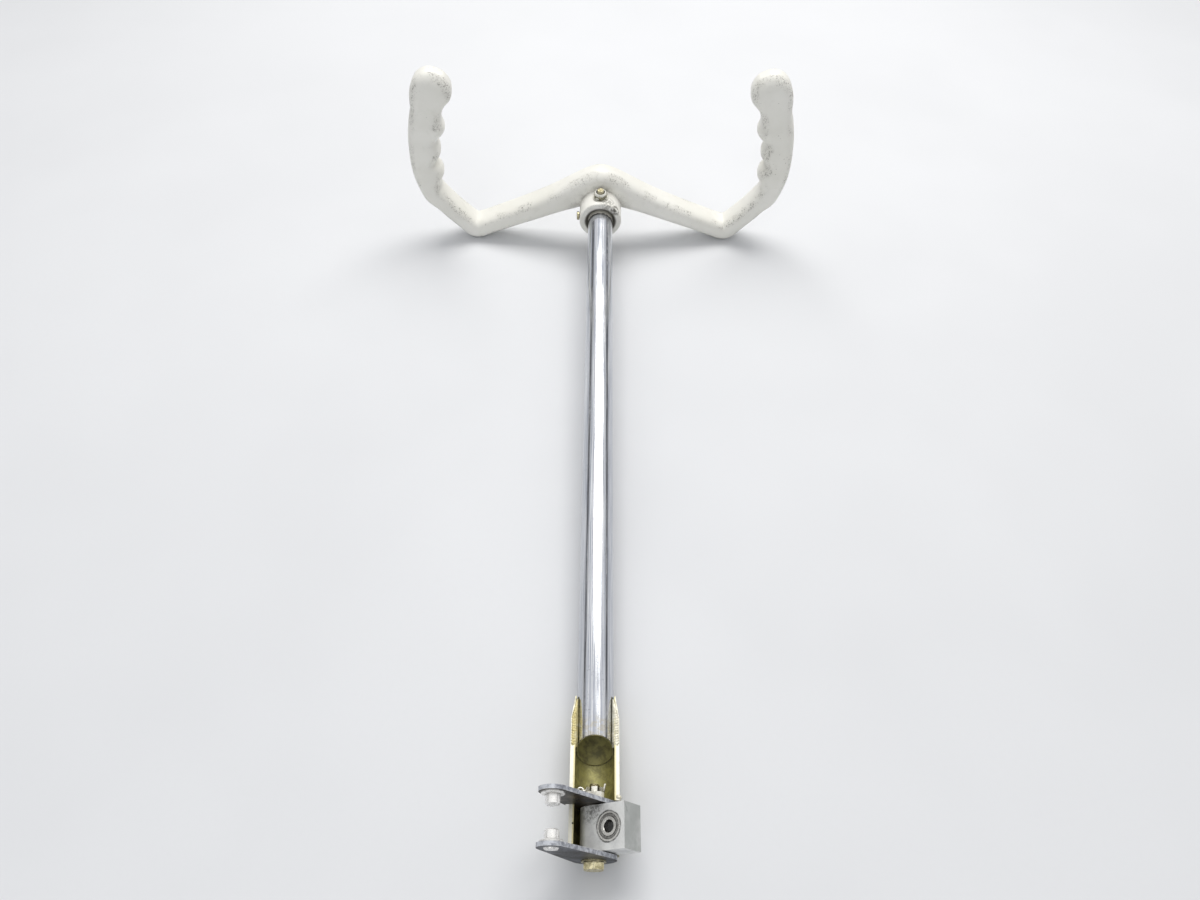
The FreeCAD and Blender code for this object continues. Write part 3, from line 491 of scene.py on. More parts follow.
def dark_steel(settings):
    """Sheared steel plate: a brown far arm, a blue-grey near arm and worn bright edges on both."""
    f = Finish("worn_steel_plate", metallic=0.2)
    cloud = f.noise(95.0, 4.0, 0.62)
    fine = f.noise(1300.0, 3.0, 0.6)
    far = f.fade(f.parts()[1], BEARING_MIDDLE.y - 0.002, BEARING_MIDDLE.y + 0.002)
    face = f.blend(far, settings.arm_steel, settings.arm_steel_brown)
    base = f.blend(f.fade(cloud, 0.34, 0.66), face, (0.020, 0.020, 0.021))
    base = f.blend(f.fade(f.noise(480.0, 3.0, 0.7), 0.58, 0.72, 0.0, 0.5), base, (0.10, 0.10, 0.095))
    rim = f.fade(f.sum("ABSOLUTE", f.parts("Normal")[1]), 0.75, 0.45)
    sheared = f.blend(f.fade(f.noise(260.0, 4.0, 0.7), 0.38, 0.62), settings.arm_edge, (0.20, 0.21, 0.24))
    base = f.blend(rim, base, sheared)
    worn = f.sum("MULTIPLY", f.corner(0.0004), f.fade(f.noise(330.0, 3.0, 0.7), 0.36, 0.58))
    base = f.blend(f.sum("MULTIPLY", worn, 0.8), base, (0.78, 0.77, 0.73))
    f.colour(base)
    f.gloss(f.fade(f.sum("ADD", cloud, f.sum("MULTIPLY", fine, 0.5)), 0.4, 1.1, 0.30, 0.55))
    shear = f.noise(1700.0, 2.0, 0.6, where=f.spot((1.0, 0.06, 1.0)))
    f.bumps((shear, 0.16, 0.00012), (fine, 0.16, 0.00008), (f.noise(240.0, 2.0), 0.1, 0.0002))
    return f


def bright_steel(name, base, dark, axis=SHAFT_AXIS, origin=ORIGIN, metallic=1.0):
    """Turned and plated steel with fine tool rings about its axis."""
    f = Finish(name, metallic=metallic)
    radius = f.off_axis(axis, origin)
    step = f.along(axis, origin)
    rings = f.node("ShaderNodeTexNoise", {"W": f.sum("ADD", radius, step), "Scale": 9000.0, "Detail": 2.0},
                   noise_dimensions="1D").outputs["Fac"]
    cloud = f.noise(420.0, 4.0, 0.65)
    tint = f.blend(f.fade(cloud, 0.40, 0.68), base, dark)
    patchiness = f.fade(f.noise(1500.0, 3.0, 0.7), 0.60, 0.72, 0.0, 0.5)
    tint = f.blend(patchiness, tint, (0.20, 0.185, 0.15))
    # Painted shade: darkening in the hollows from the occlusion mask
    deep = f.sum("MULTIPLY", f.hollow(0.0016), 0.6)
    f.colour(f.blend(deep, tint, (0.09, 0.085, 0.07)))
    f.gloss(f.fade(cloud, 0.3, 0.8, 0.18, 0.42))
    f.bumps((rings, 0.12, 0.00006), (f.noise(2200.0, 2.0), 0.10, 0.00005))
    return f


def gold_steel(settings, name, shade=1.0):
    """Gold-tinted cadmium plate, rubbed bright on the corners."""
    f = Finish(name, metallic=0.95)
    cloud = f.noise(560.0, 4.0, 0.66)
    gold = tuple(c * shade for c in settings.cadmium)
    deep_gold = tuple(c * shade for c in settings.cadmium_dark)
    base = f.blend(f.fade(cloud, 0.36, 0.66), gold, deep_gold)
    base = f.blend(f.sum("MULTIPLY", f.corner(0.0004), 0.8), base, (0.84, 0.80, 0.66))
    # Painted shade: darkening in the recesses from the occlusion mask
    recess_shade = f.sum("MULTIPLY", f.hollow(0.0014), 0.8)
    base = f.blend(recess_shade, base, (0.07, 0.062, 0.045))
    f.colour(base)
    f.gloss(f.fade(cloud, 0.3, 0.75, 0.22, 0.46))
    f.bumps((f.noise(1500.0, 3.0, 0.6), 0.14, 0.00008))
    return f


def painted_fastener(settings):
    """Gold nut with the casting's enamel left in its collar and on its flats."""
    f = Finish("painted_fastener", metallic=0.5)
    cloud = f.noise(900.0, 4.0, 0.68, twist=0.4)
    level = f.parts()[2]
    steel = f.blend(f.fade(cloud, 0.35, 0.65), (0.30, 0.285, 0.20), (0.13, 0.125, 0.095))
    tall = NUT_HIGH.z - NUT_LOW.z
    step = NUT_LOW.z + 0.60 * tall
    collar = f.fade(f.sum("ADD", level, f.fade(cloud, 0.3, 0.7, -0.0004, 0.0004)), step, step + 0.0005)
    left = f.fade(f.noise(330.0, 3.0, 0.7), 0.50, 0.56)
    share = f.sum("MAXIMUM", collar, f.sum("MULTIPLY", left, f.fade(level, step - 0.0008, step - 0.0018)))
    share = f.sum("MULTIPLY", share, f.fade(f.noise(1500.0, 3.0, 0.7), 0.66, 0.58))
    f.colour(f.blend(share, steel, settings.enamel))
    f.metal(f.sum("SUBTRACT", 0.85, f.sum("MULTIPLY", share, 0.85)))
    f.gloss(f.fade(cloud, 0.3, 0.8, 0.30, 0.55))
    f.bumps((cloud, 0.25, 0.00012), (share, 0.5, 0.00010))
    return f


def painted_washer(settings):
    """Washer under the enamel, with painted shade in the hollow at its rim."""
    f = Finish("painted_washer", roughness=0.45)
    cloud = f.noise(700.0, 4.0, 0.66)
    base = f.blend(f.fade(cloud, 0.40, 0.68), settings.enamel_shade, (0.50, 0.48, 0.41))
    # Painted shade in the hollow at the washer's rim, from the occlusion mask
    base = f.blend(f.sum("MULTIPLY", f.hollow(0.0012), 0.7), base, (0.20, 0.19, 0.16))
    f.colour(base)
    f.gloss(f.fade(cloud, 0.3, 0.8, 0.36, 0.6))
    f.bumps((cloud, 0.3, 0.00015))
    return f


def block_metal(settings):
    """Machined light alloy: milling lines, a dirty mark with painted shadow by the far arm, painted shade round
    the bearing and in its hole, and a side face with a gouge, a scuff and painted shade.
    """
    f = Finish("machined_alloy", metallic=0.30)
    turned_z = tuple(BEARING_AXIS)
    along = tuple(BLOCK_ALONG)
    axis_point = (0.0, BEARING_MIDDLE.y, 0.0)
    reach = f.along(along, axis_point)
    height = f.along(turned_z, axis_point)
    y = f.parts()[1]
    slant = f.sum("ADD", reach, f.sum("MULTIPLY", height, 0.4))
    mill = f.node("ShaderNodeTexNoise", {"W": slant, "Scale": 5200.0, "Detail": 3.0},
                  noise_dimensions="1D").outputs["Fac"]
    cloud = f.noise(120.0, 4.0, 0.6)
    fine = f.noise(1400.0, 3.0, 0.65)
    base = f.blend(f.fade(cloud, 0.36, 0.66), settings.alloy, settings.alloy_shade)
    base = f.blend(f.fade(fine, 0.60, 0.78, 0.0, 0.4), base, (0.42, 0.42, 0.40))
    base = f.blend(f.fade(mill, 0.5, 0.8, 0.0, 0.16), base, (0.45, 0.46, 0.47))
    # Dirty mark and painted shadow beside the far arm, over the round end
    smudge_and_shadow = f.sum("MULTIPLY", f.near((-0.001, BLOCK_HIGH.y - 0.002, 0.008), 0.011, 0.7),
                   f.fade(f.noise(520.0, 4.0, 0.7), 0.44, 0.62))
    base = f.blend(f.sum("MULTIPLY", smudge_and_shadow, 0.75), base, (0.15, 0.145, 0.13))
    # Painted shade: a dark ring, broken by noise, in the gap round the bearing on the upper face
    away = f.off_axis(turned_z, tuple(BEARING_MIDDLE))
    upper = f.fade(height, 0.0072, 0.0077)
    off_rim = f.sum("ABSOLUTE", f.sum("SUBTRACT", away, RIM_RADIUS))
    ring = f.sum("MULTIPLY", f.fade(off_rim, 0.00060, 0.00020), upper)
    patchiness = f.fade(f.noise(260.0, 2.0), 0.35, 0.6, 0.25, 0.9)
    base = f.blend(f.sum("MULTIPLY", ring, f.sum("MULTIPLY", patchiness, 0.95)), base, (0.05, 0.05, 0.048))
    # Side face: gouge at its far upper corner and a round scuff
    side = f.fade(reach, 0.0256, 0.0259)
    from_far = f.sum("SUBTRACT", BLOCK_HIGH.y, y)
    corner = f.sum("ADD", f.sum("SUBTRACT", 0.0079, height), f.sum("MULTIPLY", from_far, -0.55))
    wedge = f.sum("MULTIPLY", f.fade(f.sum("ABSOLUTE", corner), 0.00085, 0.00035),
                  f.fade(from_far, 0.0060, 0.0045))
    rough_wedge = f.sum("MULTIPLY", wedge, f.fade(f.noise(800.0, 3.0, 0.7), 0.34, 0.5))
    base = f.blend(f.sum("MULTIPLY", f.sum("MULTIPLY", rough_wedge, side), 0.85), base, (0.07, 0.068, 0.06))
    dy = f.sum("SUBTRACT", y, BEARING_MIDDLE.y + 0.0005)
    dh = f.sum("SUBTRACT", height, 0.0015)
    round_way = f.sum("SQRT", f.sum("ADD", f.sum("MULTIPLY", dy, dy), f.sum("MULTIPLY", dh, dh)))
    off_scuff = f.sum("ABSOLUTE", f.sum("SUBTRACT", round_way, 0.0026))
    scuff = f.sum("MULTIPLY", f.fade(off_scuff, 0.0006, 0.0001), f.fade(f.noise(300.0, 3.0), 0.46, 0.6))
    base = f.blend(f.sum("MULTIPLY", f.sum("MULTIPLY", scuff, side), 0.55), base, (0.22, 0.22, 0.22))
    edge = f.sum("MULTIPLY", f.corner(0.00045), f.fade(f.noise(410.0, 3.0, 0.7), 0.30, 0.60))
    base = f.blend(f.sum("MULTIPLY", edge, 0.6), base, (0.88, 0.88, 0.86))
    # Painted shade: the face turned towards +X is darker, broken by noise
    faces_right = f.fade(f.parts("Normal")[0], 0.35, 0.65)
    flank = f.sum("MULTIPLY", faces_right, f.fade(f.noise(70.0, 3.0, 0.6), 0.30, 0.60, 0.45, 0.85))
    base = f.blend(flank, base, (0.33, 0.345, 0.33))
    # Painted shade: the block's hole is darkened almost to black
    hole = f.fade(away, HOLE_RADIUS + 0.0002, HOLE_RADIUS - 0.0002)
    base = f.blend(f.sum("MULTIPLY", hole, 0.95), base, (0.02, 0.018, 0.014))
    f.colour(base)
    f.gloss(f.fade(f.sum("ADD", cloud, f.sum("MULTIPLY", fine, 0.5)), 0.4, 1.1, 0.32, 0.52))
    f.bumps((mill, 0.14, 0.00007), (fine, 0.16, 0.00008), (rough_wedge, -0.7, 0.0004), (ring, -0.4, 0.00012))
    return f


def race_steel(name, base, dark, metallic=0.7):
    """Ground bearing steel with fine rings about the bearing's axis, with painted shade in the hollows, at the
    bore and round the rim.
    """
    f = Finish(name, metallic=metallic)
    away = f.off_axis(tuple(BEARING_AXIS), tuple(BEARING_MIDDLE))
    rings = f.node("ShaderNodeTexNoise", {"W": away, "Scale": 14000.0, "Detail": 2.0},
                   noise_dimensions="1D").outputs["Fac"]
    cloud = f.noise(700.0, 4.0, 0.66)
    tint = f.blend(f.fade(cloud, 0.38, 0.66), base, dark)
    spots = f.fade(f.noise(2300.0, 3.0, 0.7), 0.60, 0.70, 0.0, 0.7)
    tint = f.blend(spots, tint, (0.10, 0.095, 0.085))
    # Painted shade: darkening in the hollows from the occlusion mask
    tint = f.blend(f.sum("MULTIPLY", f.hollow(0.0012), 0.85), tint, (0.03, 0.028, 0.025))
    # Painted shade: near-black rings at the bore's edge and round the rim, where the gaps fall into shadow
    rim = f.fade(away, RIM_RADIUS - 0.00045, RIM_RADIUS - 0.00025)
    seam = f.sum("MAXIMUM", f.fade(away, BORE_RADIUS + 0.0002, BORE_RADIUS), rim)
    tint = f.blend(f.sum("MULTIPLY", seam, 0.95), tint, (0.02, 0.018, 0.016))
    f.colour(tint)
    f.gloss(f.fade(cloud, 0.3, 0.8, 0.20, 0.42))
    f.bumps((rings, 0.10, 0.00004), (cloud, 0.12, 0.00006))
    return f


def collar_insert():
    """Black locking insert inside the nut's collar."""
    f = Finish("locking_insert", roughness=0.55)
    cloud = f.noise(1200.0, 3.0, 0.6)
    f.colour(f.blend(cloud, (0.020, 0.019, 0.017), (0.06, 0.056, 0.048)))
    f.gloss(f.fade(cloud, 0.3, 0.7, 0.42, 0.66))
    f.bumps((cloud, 0.3, 0.0001))
    return f


# Settings shown in the sidebar
class EnamelSettings(bpy.types.PropertyGroup):
    enamel: bpy.props.FloatVectorProperty(
        name="Enamel", description="Colour of the clean cream enamel", subtype="COLOR", size=3,
        min=0.0, max=1.0, default=(0.83, 0.82, 0.77))
    enamel_shade: bpy.props.FloatVectorProperty(
        name="Aged enamel", description="Colour of the enamel where it has aged", subtype="COLOR", size=3,
        min=0.0, max=1.0, default=(0.78, 0.77, 0.71))
    chips: bpy.props.FloatProperty(
        name="Chips", description="How much enamel has come off the edges", subtype="FACTOR",
        min=0.0, max=1.0, default=0.5)
    chip_fineness: bpy.props.FloatProperty(
        name="Chip fineness", description="Number of chips to a metre", min=100.0, max=4000.0, default=820.0)


class TubeSettings(bpy.types.PropertyGroup):
    tube_bright: bpy.props.FloatVectorProperty(
        name="Bright streaks", description="Colour of the polished steel", subtype="COLOR", size=3,
        min=0.0, max=1.0, default=(0.74, 0.75, 0.77))
    tube_dark: bpy.props.FloatVectorProperty(
        name="Dark streaks", description="Colour of the drawn lines in the steel", subtype="COLOR", size=3,
        min=0.0, max=1.0, default=(0.40, 0.42, 0.47))
    chromate: bpy.props.FloatVectorProperty(
        name="Chromate", description="Colour of the olive chromate inside", subtype="COLOR", size=3,
        min=0.0, max=1.0, default=(0.40, 0.37, 0.15))
    chromate_dark: bpy.props.FloatVectorProperty(
        name="Dark chromate", description="Colour of the chromate's darker blotches", subtype="COLOR", size=3,
        min=0.0, max=1.0, default=(0.20, 0.185, 0.085))


class BracketSettings(bpy.types.PropertyGroup):
    chromate: bpy.props.FloatVectorProperty(
        name="Chromate", description="Colour inside the channel", subtype="COLOR", size=3,
        min=0.0, max=1.0, default=(0.46, 0.43, 0.17))
    chromate_dark: bpy.props.FloatVectorProperty(
        name="Dark chromate", description="Colour of the channel's darker blotches", subtype="COLOR", size=3,
        min=0.0, max=1.0, default=(0.27, 0.25, 0.11))
    plate: bpy.props.FloatVectorProperty(
        name="Plate", description="Colour of the channel's outer face", subtype="COLOR", size=3,
        min=0.0, max=1.0, default=(0.62, 0.60, 0.49))
    plate_shade: bpy.props.FloatVectorProperty(
        name="Dull plate", description="Colour of the dulled outer face", subtype="COLOR", size=3,
        min=0.0, max=1.0, default=(0.46, 0.44, 0.34))
    rim: bpy.props.FloatVectorProperty(
        name="Rim", description="Colour of the channel's upper edges", subtype="COLOR", size=3,
        min=0.0, max=1.0, default=(0.80, 0.78, 0.68))
    arm_steel: bpy.props.FloatVectorProperty(
        name="Near arm", description="Colour of the near arm's face", subtype="COLOR", size=3,
        min=0.0, max=1.0, default=(0.032, 0.038, 0.055))
    arm_steel_brown: bpy.props.FloatVectorProperty(
        name="Far arm", description="Colour of the far arm's browned face", subtype="COLOR", size=3,
        min=0.0, max=1.0, default=(0.052, 0.040, 0.025))
    arm_edge: bpy.props.FloatVectorProperty(
        name="Arm edges", description="Colour of the arms' sheared edges", subtype="COLOR", size=3,
        min=0.0, max=1.0, default=(0.52, 0.54, 0.58))


class FastenerSettings(bpy.types.PropertyGroup):
    enamel: bpy.props.FloatVectorProperty(
        name="Enamel", description="Colour of the enamel left on the nut", subtype="COLOR", size=3,
        min=0.0, max=1.0, default=(0.78, 0.77, 0.70))
    enamel_shade: bpy.props.FloatVectorProperty(
        name="Aged enamel", description="Colour of the enamel on the washers", subtype="COLOR", size=3,
        min=0.0, max=1.0, default=(0.70, 0.69, 0.62))
    cadmium: bpy.props.FloatVectorProperty(
        name="Cadmium", description="Colour of the gold plating", subtype="COLOR", size=3,
        min=0.0, max=1.0, default=(0.78, 0.71, 0.46))
    cadmium_dark: bpy.props.FloatVectorProperty(
        name="Dark cadmium", description="Colour of the plating where it has dulled", subtype="COLOR", size=3,
        min=0.0, max=1.0, default=(0.38, 0.335, 0.19))
    bolt_size: bpy.props.FloatProperty(
        name="Bolt size", description="Outside diameter of both bolts", unit="LENGTH", min=0.003, max=0.01,
        default=6.35 * MM)
    flats: bpy.props.FloatProperty(
        name="Across flats", description="Width of the hexagons across their flats", unit="LENGTH",
        min=0.006, max=0.02, default=11.11 * MM)
    pitch: bpy.props.FloatProperty(
        name="Thread pitch", description="Distance from one thread to the next", unit="LENGTH",
        min=0.0004, max=0.002, default=0.907 * MM)


class BlockSettings(bpy.types.PropertyGroup):
    alloy: bpy.props.FloatVectorProperty(
        name="Alloy", description="Colour of the machined block", subtype="COLOR", size=3,
        min=0.0, max=1.0, default=(0.76, 0.765, 0.75))
    alloy_shade: bpy.props.FloatVectorProperty(
        name="Dull alloy", description="Colour of the block where it has dulled", subtype="COLOR", size=3,
        min=0.0, max=1.0, default=(0.60, 0.605, 0.60))


class StageSettings(bpy.types.PropertyGroup):
    floor: bpy.props.FloatVectorProperty(
        name="Floor", description="Colour of the floor", subtype="COLOR", size=3,
        min=0.0, max=1.0, default=(0.70, 0.71, 0.73))
    floor_slope: bpy.props.FloatProperty(
        name="Floor slope", description="How far the table falls towards the wheel", subtype="ANGLE",
        default=math.radians(-2.78))
    lens: bpy.props.FloatProperty(
        name="Lens", description="Focal length on a 36 mm wide sensor", subtype="DISTANCE_CAMERA",
        min=10.0, max=200.0, default=24.9)
    key: bpy.props.FloatProperty(
        name="Key light", description="Power of the lamp above the wheel", unit="POWER",
        min=0.0, default=24.0)
    fill: bpy.props.FloatProperty(
        name="Fill light", description="Power of the lamp behind the camera", unit="POWER",
        min=0.0, default=5.0)
    sky: bpy.props.FloatProperty(
        name="Room light", description="Strength of the light from all round",
        min=0.0, max=2.0, default=0.62)


# Operators, one for each group of pieces
class CONTROL_WHEEL_OT_casting(bpy.types.Operator):
    """Paint the cast hand wheel"""
    bl_idname = "control_wheel.casting"
    bl_label = "Paint the hand wheel"

    def execute(self, context):
        wear("wheel_casting", cream_paint(context.scene.wheel_enamel))
        return {"FINISHED"}


class CONTROL_WHEEL_OT_hub_fasteners(bpy.types.Operator):
    """Make the hub bolt and the stop nut, and finish the washers and side screw"""
    bl_idname = "control_wheel.hub_fasteners"
    bl_label = "Fit the hub fasteners"

    def execute(self, context):
        settings = context.scene.wheel_fasteners
        gold = gold_steel(settings, "gold_bolt_steel", 0.62)
        middle = (HUB_BOLT_LOW + HUB_BOLT_HIGH) * 0.5
        washer_low = corners("hub_washers")[0]
        radius = settings.bolt_size / 2.0
        foot = seat((0.0, middle.y, washer_low.z), (0, 0, 1), (1, 0, 0))
        length = HUB_BOLT_HIGH.z - washer_low.z
        head = washer_low.z - HUB_BOLT_LOW.z
        rings = bolt_rings(settings.flats, head, 0.4 * MM, length - 11.0 * MM, length, radius, settings.pitch)
        points, faces = skin([[foot @ p for p in row] for row in rings])
        piece("hub_bolt_with_thread", points, faces, gold, "wheel_shaft", ["hub_bolt"])
        self.stop_nut(settings, (0.0, middle.y), NUT_LOW.z, NUT_HIGH.z)
        wear("hub_washers", painted_washer(settings))
        wear("side_screw", gold_steel(settings, "side_screw_steel", 0.55))
        return {"FINISHED"}

    def stop_nut(self, settings, centre, base, top):
        """Hexagon below, round collar above, and the locking insert inside the collar."""
        count = 72
        flats = settings.flats
        corner = flats / math.sqrt(3.0)
        collar = flats / 2.0 - 0.35 * MM
        hole = settings.bolt_size / 2.0 + 0.12 * MM
        tall = top - base
        lip = hole + 1.25 * MM
        profile = [(hole, 0.0), (corner - 0.9 * MM, 0.0), (corner, 0.45 * MM), (corner, tall * 0.56),
                   (collar + 0.10 * MM, tall * 0.66), (collar, tall * 0.70), (collar, tall * 0.84),
                   (collar - 0.22 * MM, tall * 0.93), (collar - 0.62 * MM, tall * 0.985),
                   (collar - 1.0 * MM, tall), (lip + 0.1 * MM, tall), (lip, tall - 0.12 * MM),
                   (lip, tall - 0.7 * MM), (hole, tall - 0.7 * MM)]
        rings = []
        for r, z in profile:
            row = []
            for j in range(count):
                angle = 2.0 * math.pi * j / count + math.radians(12.0)
                size = hexagon_limit(r, flats, angle)
                row.append(Vector((centre[0] + size * math.cos(angle), centre[1] + size * math.sin(angle),
                                   base + z)))
            rings.append(row)
        points, faces = skin(rings + [rings[0]], closed_ends=False)
        piece("hub_stop_nut", points, faces, painted_fastener(settings), "wheel_shaft",
              ["hub_nut"])
        insert = []
        for r, z in ((hole - 0.18 * MM, tall * 0.75), (lip + 0.25 * MM, tall * 0.75),
                     (lip + 0.25 * MM, tall * 0.90), (lip - 0.35 * MM, tall * 0.935),
                     (hole - 0.02 * MM, tall * 0.90)):
            insert.append([Vector((centre[0] + r * math.cos(2.0 * math.pi * j / count),
                                   centre[1] + r * math.sin(2.0 * math.pi * j / count), base + z))
                           for j in range(count)])
        points, faces = skin(insert + [insert[0]], closed_ends=False)
        piece("hub_nut_insert", points, faces, collar_insert(), "wheel_shaft")


class CONTROL_WHEEL_OT_tube(bpy.types.Operator):
    """Polish the shaft tube outside and chromate it inside"""
    bl_idname = "control_wheel.tube"
    bl_label = "Polish the shaft tube"

    def execute(self, context):
        wear("tube", chrome_tube(context.scene.wheel_tube))
        return {"FINISHED"}


class CONTROL_WHEEL_OT_bracket(bpy.types.Operator):
    """Finish the channel and the arms, and lay the brazed seams and the arm's weld"""
    bl_idname = "control_wheel.bracket"
    bl_label = "Finish the bracket"

    def execute(self, context):
        settings = context.scene.wheel_bracket
        wear("channel", chromate_channel(settings))
        steel = dark_steel(settings)
        wear("far_arm", steel)
        wear("near_arm", steel)
        gold = braze_metal("gold_braze", (0.66, 0.58, 0.30), (0.40, 0.345, 0.16))
        pale = braze_metal("pale_braze", (0.78, 0.76, 0.66), (0.50, 0.47, 0.36))
        self.seam("left_brazed_seam", -1, gold, ["tube_welds"], 3)
        self.seam("right_brazed_seam", 1, pale, [], 8)
        low, high = SIDE_WELD_LOW, SIDE_WELD_HIGH
        start = Vector(((low.x + high.x) / 2, (low.y + high.y) / 2 + 0.2 * MM, low.z + 1.2 * MM))
        finish = Vector((start.x - 0.1 * MM, start.y + 0.1 * MM, high.z - 0.5 * MM))
        width = (high.y - low.y) / 2 - 0.45 * MM
        tall = (high.x - low.x) / 2 - 0.3 * MM
        points, faces = weld_bead(start, finish, width, tall, Vector((1, 0, 0)), 5, 5, steps=90)
        piece("arm_weld_bead", points, faces, pale, "wheel_shaft", ["arm_weld"])
        return {"FINISHED"}

    def seam(self, name, way, finish, stands_for, seed):
        """Filler that climbs from the tube's flank over the channel's upper edge."""
        rng = random.Random(seed)
        steps = 220
        around = 24
        start_y = WELD_HIGH.y - 0.2 * MM
        end_y = WELD_LOW.y + 0.3 * MM
        wall = WELD_HIGH.x - 0.05 * MM
        outline = [(9.95, 5.60), (10.25, 6.55), (10.9, 7.45), (11.6, 8.05), (12.6, 8.35), (13.5, 8.28),
                   (14.05, 7.8), (14.2, 6.9), (14.0, 6.2), (12.8, 6.0), (11.4, 5.6), (10.5, 5.4)]
        waves = [(rng.uniform(60, 900), rng.uniform(0, 6.28), rng.uniform(0.3, 1.0)) for _ in range(9)]
        rings = []
        for i in range(steps + 1):
            t = i / steps
            y = start_y + (end_y - start_y) * t
            tip = min(1.0, (t / 0.42) ** 0.8) if t < 0.42 else 1.0
            tail = min(1.0, (1.0 - t) / 0.03)
            row = []
            for j in range(around):
                k = j * len(outline) / around
                a = outline[int(k)]
                b = outline[(int(k) + 1) % len(outline)]
                u = k - int(k)
                x = (a[0] * (1 - u) + b[0] * u) * MM
                z = (a[1] * (1 - u) + b[1] * u) * MM
                # The seam runs to a point on the tube's flank
                x = 10.3 * MM + (x - 10.3 * MM) * (0.10 + 0.90 * tip)
                z = 5.2 * MM + (z - 5.2 * MM) * (0.30 + 0.70 * tip) * (0.6 + 0.4 * tail)
                way_on = (y * 3.0 + 0.7 * x + 0.9 * z) * 6.28
                rough = sum(w * math.sin(f * way_on + p + j * 0.9) for f, p, w in waves)
                swell = 0.045 * MM * rough * (0.3 + 0.7 * tip)
                ripple = 0.16 * MM * math.sin(2 * math.pi * (t * 19.0 + 0.05 * j)) * tip
                z += (swell + ripple) * (1.0 if 1 <= j <= 14 else 0.3)
                x = min(x + 0.4 * swell, wall)
                row.append(Vector((way * x, y, min(z, WELD_HIGH.z))))
            rings.append(row)
        points, faces = skin(rings)
        piece(name, points, faces, finish, "wheel_shaft", stands_for)


class CONTROL_WHEEL_OT_pivot(bpy.types.Operator):
    """Make the pivot bolt with its thread, and finish the castle nut, split pin, washers and link pins"""
    bl_idname = "control_wheel.pivot"
    bl_label = "Fit the pivot and the link pins"

    def execute(self, context):
        settings = context.scene.wheel_fasteners
        washer_low = corners("pivot_washers")[0]
        radius = settings.bolt_size / 2.0
        foot = seat((0.0, washer_low.y, 0.0), (0, 1, 0), (1, 0, 0))
        head = washer_low.y - PIVOT_LOW.y
        length = PIVOT_HIGH.y - washer_low.y
        rings = bolt_rings(settings.flats, head, 0.4 * MM, length - 9.8 * MM, length, radius, settings.pitch)
        points, faces = skin([[foot @ p for p in row] for row in rings])
        piece("pivot_bolt_with_thread", points, faces, gold_steel(settings, "gold_pivot_steel", 1.12),
              "wheel_shaft", ["pivot_bolt"])
        wear("castle_nut", bright_steel("castle_nut_steel", (0.90, 0.88, 0.80), (0.62, 0.60, 0.52),
                                        metallic=0.55))
        wear("split_pin", bright_steel("split_pin_steel", (0.80, 0.78, 0.70), (0.50, 0.48, 0.42),
                                       metallic=0.6))
        wear("pivot_washers", gold_steel(settings, "pivot_washer_steel", 0.9))
        pin_low, pin_high = corners("link_pins")
        middle = (pin_low + pin_high) * 0.5
        wear("link_pins", bright_steel("link_pin_steel", (0.86, 0.85, 0.83), (0.80, 0.79, 0.77),
                                       SHAFT_AXIS, tuple(middle), 0.55))
        wear("shims", bright_steel("shim_steel", (0.50, 0.49, 0.46), (0.30, 0.29, 0.27)))
        return {"FINISHED"}


class CONTROL_WHEEL_OT_block(bpy.types.Operator):
    """Finish the swinging block and its small ball bearing"""
    bl_idname = "control_wheel.block"
    bl_label = "Finish the swinging block"

    def execute(self, context):
        settings = context.scene.wheel_block
        wear("swing_block", block_metal(settings))
        rows = (
            ("bearing_outer_race", "outer_race_steel", (0.82, 0.81, 0.77), (0.60, 0.59, 0.56)),
            ("bearing_inner_race", "inner_race_steel", (0.80, 0.79, 0.75), (0.56, 0.55, 0.52)),
            ("bearing_shields", "shield_steel", (0.40, 0.395, 0.38), (0.16, 0.155, 0.145)),
            ("bearing_balls", "ball_steel", (0.78, 0.77, 0.75), (0.66, 0.65, 0.63)),
            ("bearing_cage", "cage_steel", (0.50, 0.43, 0.26), (0.33, 0.28, 0.17)),
        )
        for node_name, name, light, dark in rows:
            wear(node_name, race_steel(name, light, dark))
        return {"FINISHED"}


